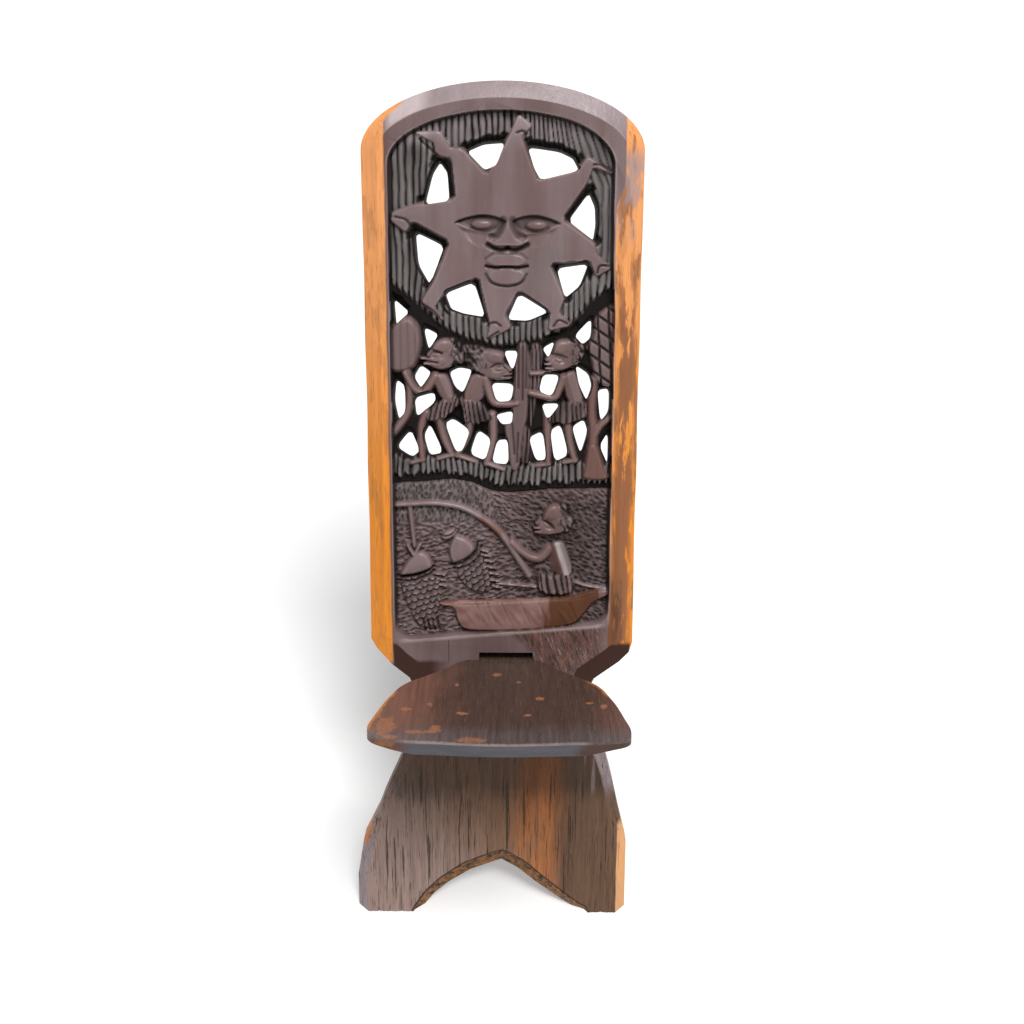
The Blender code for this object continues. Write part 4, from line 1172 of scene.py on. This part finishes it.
def seat_outline():
    tail = SEAT_HEIGHT / math.tan(LEAN) + 2 * OVERCUT
    right = [(HALF_SHOULDER * 0.84, -FIT_GAP), (HALF_SHOULDER * 1.04, -6.0, True)]
    right += [(HALF_SEAT * wide, -SEAT_DEPTH * deep, True) for deep, wide in SEAT_RIGHT_SIDE]
    left = [(-HALF_SEAT * wide, -SEAT_DEPTH * deep, True) for deep, wide in reversed(SEAT_LEFT_SIDE)]
    left += [(-HALF_SHOULDER * 1.04, -6.0, True), (-HALF_SHOULDER * 0.84, -FIT_GAP)]
    points = [(TONGUE_RIGHT, tail), (TONGUE_RIGHT, -FIT_GAP)]
    points += right + [(0.0, FRONT_SLACK - SEAT_DEPTH, True)] + left
    points += [(TONGUE_LEFT, -FIT_GAP), (TONGUE_LEFT, tail)]
    return points


def seat_plank():
    seat = slab("worn_seat", seat_outline(), -TONGUE_THICKNESS, 0.0, 10)
    slope = (TONGUE_THICKNESS - SEAT_EDGE) / (SEAT_DEPTH - SHOULDER_FLAT)
    with editing(seat.data) as work:
        bmesh.ops.bisect_plane(work, geom=work.verts[:] + work.edges[:] + work.faces[:],
                               plane_co=(0.0, -SHOULDER_FLAT, 0.0), plane_no=(0.0, 1.0, 0.0))
        for vert in work.verts:
            if vert.co.z < -TONGUE_THICKNESS / 2 and vert.co.y < -SHOULDER_FLAT:
                vert.co.z += (-SHOULDER_FLAT - vert.co.y) * slope
                corner = max(abs(vert.co.x) - CORNER_START, 0.0) / (HALF_SEAT - CORNER_START)
                vert.co.z = min(vert.co.z + 9.0 * corner, -THINNEST)
    ease_edges(seat, 1.8, 40.0)
    across = np.arange(-150.0, 150.1, 2.5)
    along = np.arange(-262.0, -1.0, 2.5)
    x, y = np.meshgrid(across, along)
    dish = np.clip(1 - (x / 150.0) ** 2 - ((y + 130.0) / 140.0) ** 2, 0.0, 1.0)
    heights = -0.15 - 1.8 * dish - 0.4 * noise(x, y, 18.0, 60.0, 81) - 0.3 * noise(x, y, 3.0, 40.0, 82)
    cut(seat, grid_solid("dish", across, along, heights, OVERCUT))
    floor = block("floor", *BELOW_SEAT)
    floor.data.transform(seat_place(1.0).inverted())
    cut(seat, floor)
    return seat


# Worn spots of the seat: middle, half width, half length
WORN_SPOTS = (
    (-5, -46, 9, 7), (46, -121, 6, 7), (-42, -166, 8, 5), (31, -171, 6, 5), (-80, -142, 5, 8),
    (-70, -212, 9, 13), (-90, -222, 17, 6), (-30, -242, 20, 10), (-106, -155, 8, 6), (119, -145, 5, 8),
    (-126, -205, 14, 34), (-137, -160, 4, 34), (-118, -236, 10, 8), (22, -70, 5, 4),
    (-52, -78, 3, 6), (103, -135, 5, 4),
)


def finish_seat(seat):
    """Keep how worn each point is and how far it lies from the sides for the material, and shade the seat."""
    mesh = seat.data
    points = points_of(mesh)
    x, y, z = points.T
    wear_and_gleam = np.full(x.shape, -1.0)
    for middle_x, middle_y, wide, long in WORN_SPOTS:
        wear_and_gleam = np.maximum(wear_and_gleam, 1 - np.hypot((x - middle_x) / wide, (y - middle_y) / long))
    gap = np.full(x.shape, np.inf)
    for k in np.flatnonzero((z < -3.5) & (y < -SHOULDER_FLAT)):
        gap = np.minimum(gap, np.hypot(x - x[k], y - y[k]))
    store(mesh, "wear_and_gleam", np.where(z < -6.0, -1.0, wear_and_gleam))
    store(mesh, "gap", gap)
    store(mesh, "place", points)
    finish_shading(mesh, lambda edge: SEAT_TURN)


# Places of the planks in the frame, for drawings in units of the given size in metres

UP = Vector((0.0, math.sin(LEAN), math.cos(LEAN)))
OUT = Vector((0.0, -math.cos(LEAN), math.sin(LEAN)))
FOOT_POINT = Vector((MIDDLE, FRONT_FOOT, 0.0))


def placed(along, out, start, unit):
    """Place of a drawing with x across, from its two other directions and its start."""
    place = Matrix.Identity(4)
    for k, column in enumerate((Vector((1.0, 0.0, 0.0)), along, out, start)):
        place.col[k][:3] = column * unit
    return place


def back_place(unit):
    return placed(UP, OUT, FOOT_POINT, unit)


def seat_place(unit):
    return placed(-OUT, UP, FOOT_POINT + UP * SEAT_HEIGHT, unit)


# Materials

def feed(socket, value):
    """Link a value to a socket, or set it there."""
    value = getattr(value, "socket", value)
    if isinstance(value, bpy.types.NodeSocket):
        socket.id_data.links.new(value, socket)
    else:
        socket.default_value = (*value, 1.0) if socket.type == "RGBA" else value


def make(tree, kind, inputs=(), **settings):
    """Add a node, with its inputs given in order or by name."""
    node = tree.nodes.new("ShaderNode" + kind)
    for name, value in settings.items():
        setattr(node, name, value)
    for key, value in inputs.items() if isinstance(inputs, dict) else enumerate(inputs):
        feed(node.inputs[key], value)
    return node


class Wire:
    """A number that runs between nodes. Its arithmetic adds nodes."""

    def __init__(self, socket):
        self.socket = socket

    def math(self, operation, *values):
        return Wire(make(self.socket.id_data, "Math", values, operation=operation).outputs[0])

    def __add__(self, other):
        return self.math("ADD", self, other)

    def __sub__(self, other):
        return self.math("SUBTRACT", self, other)

    def __rsub__(self, other):
        return self.math("SUBTRACT", other, self)

    def __mul__(self, other):
        return self.math("MULTIPLY", self, other)

    def __pow__(self, other):
        return self.math("POWER", self, other)

    def __abs__(self):
        return self.math("ABSOLUTE", self)

    __radd__, __rmul__ = __add__, __mul__

    def larger(self, other):
        return self.math("MAXIMUM", self, other)

    def ramp(self, low, high):
        """0 below low, 1 above high, and smooth between. Low may be the larger one."""
        node = make(self.socket.id_data, "MapRange", {"Value": self, "From Min": low, "From Max": high},
                    interpolation_type="SMOOTHSTEP")
        return Wire(node.outputs["Result"])


class Coat:
    """A colour that is built up in layers."""

    def __init__(self, paint, colour):
        self.tree, self.colour = paint.tree, colour

    def lay(self, share, colour):
        """Cover a share with a plain colour or another coat."""
        colour = getattr(colour, "colour", colour)
        node = make(self.tree, "Mix", {0: share, 6: self.colour, 7: colour}, data_type="RGBA")
        self.colour = node.outputs[2]

    def scale(self, factor):
        node = make(self.tree, "VectorMath", {0: self.colour, "Scale": factor}, operation="SCALE")
        self.colour = node.outputs[0]


class Paint:
    """A node material with short ways to add nodes."""

    def __init__(self, name):
        self.material = bpy.data.materials.new(name)
        self.material.use_nodes = True
        self.tree = self.material.node_tree
        self.place = make(self.tree, "Attribute", attribute_name="place").outputs["Vector"]

    def axes(self):
        return map(Wire, make(self.tree, "SeparateXYZ", (self.place,)).outputs)

    def attributes(self, *names):
        return (Wire(make(self.tree, "Attribute", attribute_name=name).outputs["Fac"]) for name in names)

    def noise(self, cells, detail, roughness, shift=0.0, turn=0.0):
        """Noise whose cells have the given size along each axis, turned about the third."""
        place = self.place
        if turn:
            node = make(self.tree, "VectorRotate", {"Vector": place, "Angle": turn}, rotation_type="Z_AXIS")
            place = node.outputs[0]
        mapped = make(self.tree, "Mapping", {"Vector": place, "Location": (shift, shift * 0.7, shift * 1.3),
                                             "Scale": tuple(1.0 / cell for cell in cells)})
        node = make(self.tree, "TexNoise", {"Vector": mapped.outputs[0], "Scale": 1.0, "Detail": detail,
                                            "Roughness": roughness})
        return Wire(node.outputs["Fac"])

    def finish(self, coat, roughness, relief, depth, specular):
        bump = make(self.tree, "Bump", {"Strength": 1.0, "Distance": depth, "Height": relief})
        shader = self.tree.nodes["Principled BSDF"].inputs
        feed(shader["Base Color"], coat.colour)
        feed(shader["Roughness"], roughness)
        feed(shader["Specular IOR Level"], specular)
        feed(shader["Normal"], bump.outputs[0])
        return self.material


HEART = (0.205, 0.145, 0.146)
HEART_DARK = (0.150, 0.096, 0.092)
RED_WOOD = (0.135, 0.058, 0.040)
ASH = (0.165, 0.146, 0.142)
NEAR_BLACK = (0.014, 0.012, 0.011)
SAP = (0.76, 0.255, 0.022)
SAP_PALE = (0.84, 0.350, 0.125)
SAP_BROWN = (0.230, 0.088, 0.045)
SAP_DARK = (0.26, 0.105, 0.040)
FOOT_BROWN = (0.262, 0.142, 0.082)
FOOT_GREY = (0.345, 0.240, 0.205)
FOOT_STREAK = (0.430, 0.155, 0.050)
RUST = (0.250, 0.105, 0.028)
SEAT_BROWN = (0.066, 0.037, 0.027)
SEAT_RED = (0.120, 0.053, 0.037)
SEAT_FRONT_SHEEN = (0.098, 0.074, 0.073)
SEAT_EDGE_BLUE = (0.085, 0.082, 0.092)
SEAT_CHIP = (0.345, 0.138, 0.066)
SEAT_LINE = (0.300, 0.255, 0.245)
SEAT_SAP = (0.50, 0.175, 0.035)
CORNER = (0.048, 0.021, 0.015)
SCRATCHED = (0.230, 0.095, 0.062)
CRACK = (0.040, 0.022, 0.015)
LILAC = (0.34, 0.270, 0.282)
WEAR_AND_GLEAM = (0.40, 0.32, 0.31)
WARM = (0.262, 0.150, 0.135)
HULL = (0.105, 0.042, 0.021)
BARE = (0.330, 0.215, 0.190)
TORN = (0.108, 0.054, 0.046)
PEACH = (0.78, 0.42, 0.20)
GLEAM = (0.60, 0.50, 0.50)
FLOOR_GREY = (0.72, 0.72, 0.72)
CARVED_BUMP = 0.0012
SEAT_BUMP = 0.0010


def carved_wood():
    paint = Paint("carved_wood")
    x, s, n = paint.axes()
    char_and_shade, hollow, red, band = paint.attributes("char_and_shade", "hollow", "red", "arch")
    grain = paint.noise((6.0, 120.0, 6.0), 4.0, 0.6)
    fine = paint.noise((1.5, 34.0, 1.5), 3.0, 0.6, 7.0)
    broad = paint.noise((48.0, 220.0, 48.0), 2.0, 0.5, 3.0)
    patch = paint.noise((22.0, 60.0, 22.0), 3.0, 0.6, 11.0)
    scratch = paint.noise((2.4, 17.0, 8.0), 4.0, 0.65, 4.0, turn=-0.34)
    flake = paint.noise((11.0, 24.0, 11.0), 5.0, 0.7, 17.0, turn=-0.25)
    dark_patch = paint.noise((15.0, 80.0, 15.0), 4.0, 0.62, 31.0)
    blotch = paint.noise((7.0, 7.0, 7.0), 3.0, 0.6, 13.0)

    wood = Coat(paint, HEART)
    wood.lay(broad.ramp(0.35, 0.68), HEART_DARK)
    for low, high, hue in ((0.0, 1.0, RED_WOOD), (1.0, 2.0, WARM), (0.0, -1.0, ASH), (-1.0, -2.0, WEAR_AND_GLEAM)):
        wood.lay(red.ramp(low, high), hue)
    aft = x - 0.25 * s + 40.0 * patch + 16.0 * grain
    hull = red.ramp(0.80, 0.97) * red.ramp(1.5, 1.2) * aft.ramp(-30.0, -18.0) * s.ramp(452.0, 446.0)
    wood.lay(hull, HULL)
    lip = s - LIP_SLOPE * x - LIP_RISE
    face = n.ramp(-24.0, -14.0)
    wood.scale(1.0 - 0.16 * face * lip.ramp(384.0, 379.0))

    # The weathered foot is browner, pale and grey at the lower left, with a rusty streak
    foot = s.ramp(FOOT_TOP, 262.0)
    sole = Coat(paint, FOOT_BROWN)
    sole.lay((80.0 * patch - x - 0.9 * s).ramp(-95.0, 95.0), FOOT_GREY)
    aside = x - 0.04 * s + 26.0 * patch
    streak = aside.ramp(8.0, 52.0) * aside.ramp(100.0, 66.0) * (patch + 0.6 * grain).ramp(0.45, 0.82)
    sole.lay(streak * (0.55 + 0.9 * grain), FOOT_STREAK)
    sole.scale(1.0 - 0.50 * x.ramp(56.0, 84.0))
    # Painted shadow of the seat across the top of the foot.
    sole.scale(1.0 - 0.54 * (s + 40.0 * patch).ramp(168.0, 206.0))
    edge = n.ramp(-0.8, -2.0)
    sole.lay(edge * x.ramp(-160.0, -168.0) * s.ramp(122.0, 108.0), LILAC)
    sole.lay(0.7 * edge * x.ramp(100.0, 108.0) * s.ramp(158.0, 190.0), LILAC)
    wood.lay(foot, sole)

    # Torn wood beside the slot, a fissure, and the crown's painted sheen and highlight
    torn = (x + 0.7 * s + 36.0 * patch).ramp(300.0, 312.0) * x.ramp(134.0, 116.0) * lip.ramp(385.0, 380.0)
    torn = torn * s.ramp(300.0, 330.0) * face
    for share, hue in ((0.88, TORN), (0.8 * flake.ramp(0.54, 0.60), SCRATCHED),
                       (0.8 * scratch.ramp(0.55, 0.66) * flake.ramp(0.60, 0.46), BARE),
                       (0.7 * scratch.ramp(0.46, 0.38), CORNER), (0.8 * flake.ramp(0.45, 0.38), CORNER)):
        wood.lay(torn * share, hue)
    fissure = abs(x + 64.5 + 2.0 * grain).ramp(0.9, 0.3) * s.ramp(344.0, 350.0) * lip.ramp(382.0, 379.0) * face
    wood.lay(0.8 * fissure, CRACK)
    # Painted sheen on the chamfer of the crown, and a painted highlight at its upper left.
    crown = n.ramp(-0.3, -1.2) * s.ramp(960.0, 1005.0)
    wood.lay(crown * (0.35 + 0.8 * patch), LILAC)
    wood.lay(0.75 * crown * x.ramp(-76.0, -98.0), GLEAM)
    wood.scale(1.0 + (grain - 0.5) * (0.34 + 0.9 * foot))
    wood.lay(fine.ramp(0.56, 0.70) * (0.06 + 0.72 * foot), CRACK)
    split = paint.noise((5.0, 150.0, 5.0), 4.0, 0.65, 21.0).ramp(0.60, 0.66) * foot
    wood.lay(0.8 * split, CRACK)

    # Sapwood lies along both outer sides, and in strips low on the foot
    wander = 14.0 * patch + 6.0 * grain - 10.0
    slant = s - 0.96 * x - 1125.4 + 0.5 * wander
    left = (x + 0.25 * wander).ramp(-134.0, -136.5).larger(slant.ramp(-1.5, 1.5) * x.ramp(-90.0, -96.0))
    ragged = x + 0.3 * wander
    right = (ragged - (130.6 + 10.0 * s.ramp(895.0, 935.0))).ramp(-1.0, 1.0)
    low_right = ragged.ramp(148.5, 150.0) * s.ramp(134.0, 120.0)
    chip = s + 2.0 * wander
    low_left = 0.75 * chip.ramp(78.0, 94.0) * chip.ramp(134.0, 110.0)
    low_left = low_left * (0.36 * s - x + wander).ramp(206.0, 212.0)
    outer = (left.larger(right) * s.ramp(340.0, 346.0)).larger(low_right.larger(low_left))
    sap = Coat(paint, SAP)
    sap.lay(s.ramp(500.0, 900.0), SAP_PALE)
    sap.scale(0.70 + 0.6 * grain)
    inner = x.ramp(132.0, 141.0) * x.ramp(162.0, 151.0) * s.ramp(900.0, 760.0)
    sap.lay(0.88 * inner * (dark_patch + 0.05 * s.ramp(760.0, 560.0)).ramp(0.455, 0.51), SAP_BROWN)
    low_strip = (x + 0.5 * wander).ramp(151.0, 145.0) * x.ramp(120.0, 124.0)
    sap.lay(0.9 * low_strip * (s + 90.0 * dark_patch).ramp(535.0, 500.0), HULL)
    sap.lay(dark_patch.ramp(0.53, 0.60) * (0.30 + 0.45 * x.ramp(-20.0, 20.0)), SAP_DARK)
    sap.lay(0.5 * fine.ramp(0.54, 0.70), SAP_DARK)
    # Lilac-grey patches high on the right sapwood.
    lilac_patch = x.ramp(120.0, 140.0) * s.ramp(850.0, 900.0) * s.ramp(975.0, 950.0) * patch.ramp(0.40, 0.52)
    sap.lay(0.7 * lilac_patch, LILAC)
    sap.lay(0.8 * s.ramp(150.0, 130.0) * x.ramp(0.0, 20.0), PEACH)
    wood.lay(0.7 * x.ramp(-126.0, -137.0) * s.ramp(330.0, 400.0), RED_WOOD)
    wood.lay(outer, sap)

    # Painted shade on the lower corners of the panel, whose chamfers face down, and on its front beside the
    # seat at the left
    lower = s + 0.5 * wander
    low_corner = n.ramp(-0.3, -1.2).larger(lower.ramp(352.0, 345.0) * x.ramp(-60.0, -90.0))
    low_corner = low_corner * n.ramp(-26.0, -16.0) * lower.ramp(374.0, 368.0) * s.ramp(298.0, 312.0)
    low_corner = low_corner * x.ramp(-136.0, -133.5) * (x + 0.2 * wander).ramp(161.0, 158.5)
    wood.lay(low_corner, CORNER)

    # Lines worn light along the edge of the sunk field and along the crease of the chamfer
    over = (s - (FIELD_TOP - FIELD_CROWN)).larger(0.0) * (1 / FIELD_CROWN)
    across = abs(x + FIELD_ASIDE * x.ramp(*ASIDE_ACROSS) * s.ramp(*ASIDE_UP)) * (1 / HALF_FIELD)
    reach = (across ** 2.0 + over ** 2.0) ** 0.5
    rim = reach.ramp(0.985, 1.002) * reach.ramp(1.030, 1.004) * s.ramp(390.0, 410.0)
    foot_rim = lip.ramp(378.0, 382.0) * lip.ramp(386.5, 383.5) * reach.ramp(1.0, 0.9)
    crease = n.ramp(-1.8, -0.5) * n.ramp(0.0, -0.4) * reach.ramp(1.02, 1.04) * s.ramp(330.0, 350.0)
    crease = crease * (1.0 - outer)
    wear_and_gleam = (rim.larger(foot_rim) * n.ramp(-3.0, -1.0)).larger(crease)
    wood.lay(wear_and_gleam * (0.10 + 0.7 * patch), WEAR_AND_GLEAM)

    # Rust-brown cut of the arch with a dark line along it, painted shade in hollows and painted highlight on
    # raised parts, then the charring and painted shade of the carving
    front = n.ramp(-34.0, -26.0)
    rust = Coat(paint, RUST)
    rust.scale(1.5 * blotch.ramp(0.30, 0.66))
    wood.lay(front * band.ramp(-0.6, 0.6), rust)
    wood.lay(0.9 * front * band.ramp(-1.8, -0.6) * band.ramp(1.4, 0.3), NEAR_BLACK)
    wood.scale(1.0 - 0.55 * hollow.ramp(0.0, 3.5) + 0.28 * hollow.ramp(-0.3, -2.5))
    wood.lay(char_and_shade, NEAR_BLACK)

    roughness = 0.26 + 0.50 * char_and_shade + 0.20 * foot + 0.08 * fine
    specular = 0.26 - 0.22 * char_and_shade - 0.18 * low_corner - 0.14 * hull
    relief = fine * (0.10 + 1.3 * foot) + 0.3 * grain + 0.7 * patch - 1.2 * split + 1.6 * torn * scratch
    return paint.finish(wood, roughness, relief, CARVED_BUMP, specular)


def seat_wood():
    paint = Paint("seat_wood")
    x, y, z = paint.axes()
    wear_and_gleam, gap = paint.attributes("wear_and_gleam", "gap")
    grain = paint.noise((5.0, 90.0, 5.0), 4.0, 0.6)
    fine = paint.noise((1.3, 26.0, 1.3), 3.0, 0.6, 5.0)
    patch = paint.noise((26.0, 44.0, 26.0), 3.0, 0.6, 9.0)
    nick = paint.noise((9.0, 8.0, 9.0), 3.0, 0.6, 2.0)
    layers = paint.noise((40.0, 40.0, 5.0), 3.0, 0.6, 6.0)

    left = (60.0 * patch - x).ramp(60.0, 140.0)
    right = (x + 40.0 * patch).ramp(118.0, 155.0)
    wood = Coat(paint, SEAT_BROWN)
    wood.lay(0.85 * left.larger(right), SEAT_RED)
    # Painted sheen towards the front of the seat.
    wood.lay((y + 50.0 * patch).ramp(-165.0, -215.0) * (0.35 + 0.9 * grain), SEAT_FRONT_SHEEN)
    wood.scale((0.36 + 1.25 * grain) * (1.0 + 0.55 * left))
    wood.lay(0.55 * fine.ramp(0.56, 0.68), HEART_DARK)
    chip = (wear_and_gleam + 1.5 * nick + 0.25 * fine - 0.95).ramp(0.0, 0.28)
    bare = Coat(paint, SEAT_CHIP)
    bare.scale(0.30 + 0.7 * fine + 0.7 * nick)
    wood.lay(chip * (0.45 + 0.6 * patch), bare)

    # Sides of the plank, with a pale line along the front edge and sapwood strips
    side = Coat(paint, SEAT_RED)
    side.lay(x.ramp(40.0, 80.0), SEAT_BROWN)
    side.lay(x.ramp(-90.0, -104.0) * y.ramp(-120.0, -150.0) * patch.ramp(0.40, 0.55), SAP_DARK)
    middle = (x + 30.0 * patch).ramp(-100.0, -80.0) * (x + 40.0 * patch).ramp(118.0, 92.0)
    side.lay(y.ramp(-214.0, -224.0) * middle, SEAT_EDGE_BLUE)
    side.scale(0.60 + 0.8 * layers)
    wood.lay(z.ramp(-2.8, -3.8) * y.ramp(-4.0, -10.0), side)
    line = gap.ramp(4.2, 2.6) * z.ramp(-3.2, -2.2) * y.ramp(-190.0, -215.0)
    line = line * x.ramp(-112.0, -96.0) * x.ramp(104.0, 88.0)
    wood.lay(line * (0.25 + 0.9 * patch), SEAT_LINE)
    strip = x.ramp(-108.0, -116.0) * y.ramp(-98.0, -114.0) * y.ramp(-226.0, -206.0)
    strip = strip.larger(0.7 * x.ramp(84.0, 96.0) * y.ramp(-62.0, -76.0) * y.ramp(-122.0, -104.0))
    wood.lay(strip * (gap + 5.0 * nick).ramp(7.0, 5.0), SEAT_SAP)

    # Inside the slot the tongue is painted dark as shade, and it is dull
    within = y.ramp(60.0, 48.0)
    wood.lay(y.ramp(12.0, 26.0) * within, NEAR_BLACK)
    dull = y.ramp(-3.0, 1.0) * within
    roughness = 0.38 + 0.16 * fine + 0.12 * chip + 0.45 * dull
    relief = 0.5 * fine + 0.5 * grain - 0.5 * chip + 0.4 * patch
    return paint.finish(wood, roughness, relief, SEAT_BUMP, 0.26 - 0.25 * dull)


# Stage, light and camera

FLOOR_SIZE = 14.0
FLOOR_LIFT = 0.30
SKY_LIGHT = 0.27
KEY_LIGHT = 3.2
KEY_SPREAD = math.radians(26.0)
KEY_FROM = (0.21, -0.27, 1.0)
CAMERA_AT = (0.03395, -1.33312, 1.6205)
CAMERA_TO = (0.02405, -0.08882, 0.4804)
CAMERA_LENS = 49.22
SENSOR = 36.0


def seen_ray(tree):
    """1 for rays of the camera and for those that show the surroundings in a surface, otherwise 0."""
    path = make(tree, "LightPath").outputs
    also = make(tree, "Math", (path["Is Glossy Ray"], path["Is Transmission Ray"]), operation="ADD")
    seen = make(tree, "Math", (path["Is Camera Ray"], also.outputs[0]), operation="ADD", use_clamp=True)
    return seen.outputs[0]


def floor_material():
    made = bpy.data.materials.new("pale_floor")
    made.use_nodes = True
    tree = made.node_tree
    tree.nodes.clear()
    share = make(tree, "Math", (seen_ray(tree), FLOOR_LIFT), operation="MULTIPLY")
    diffuse = make(tree, "BsdfDiffuse", {"Color": FLOOR_GREY})
    glow = make(tree, "Emission", {"Strength": share.outputs[0]})
    both = make(tree, "AddShader", (diffuse.outputs[0], glow.outputs[0]))
    make(tree, "OutputMaterial", {"Surface": both.outputs[0]})
    return made


def stage():
    mesh = bpy.data.meshes.new("floor")
    with editing(mesh) as work:
        bmesh.ops.create_grid(work, x_segments=1, y_segments=1, size=FLOOR_SIZE)
    floor = as_object("floor", mesh)
    mesh.materials.append(floor_material())


def light():
    world = bpy.data.worlds.new("studio")
    bpy.context.scene.world = world
    world.use_nodes = True
    tree = world.node_tree
    tree.nodes.clear()
    sky, white = (make(tree, "Background", {"Color": (1.0, 1.0, 1.0), "Strength": strength})
                  for strength in (SKY_LIGHT, 1.0))
    mix = make(tree, "MixShader", (seen_ray(tree), sky.outputs[0], white.outputs[0]))
    make(tree, "OutputWorld", {"Surface": mix.outputs[0]})
    lamp = bpy.data.lights.new("key", "SUN")
    lamp.energy = KEY_LIGHT
    lamp.angle = KEY_SPREAD
    as_object("key", lamp).rotation_euler = Vector(KEY_FROM).to_track_quat("Z", "Y").to_euler()


def camera():
    lens = bpy.data.cameras.new("camera")
    lens.lens = CAMERA_LENS
    lens.sensor_width = SENSOR
    made = as_object("camera", lens)
    made.location = CAMERA_AT
    made.rotation_euler = (Vector(CAMERA_TO) - Vector(CAMERA_AT)).to_track_quat("-Z", "Y").to_euler()
    bpy.context.scene.camera = made


def dress(piece, material, place, body, node):
    piece.data.materials.clear()
    piece.data.materials.append(material)
    piece.data.transform(place)
    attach(piece, body)
    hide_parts(node)


MILLIMETRE = 0.001
CARVING = carve_field()
BACK = back_plank(CARVING)
finish_back(BACK, CARVING)
dress(BACK, carved_wood(), back_place(MILLIMETRE), "back", "back_plank")
SEAT = seat_plank()
finish_seat(SEAT)
dress(SEAT, seat_wood(), seat_place(MILLIMETRE), "seat", "seat_plank")
stage()
light()
camera()
bpy.context.scene.view_settings.view_transform = "Standard"
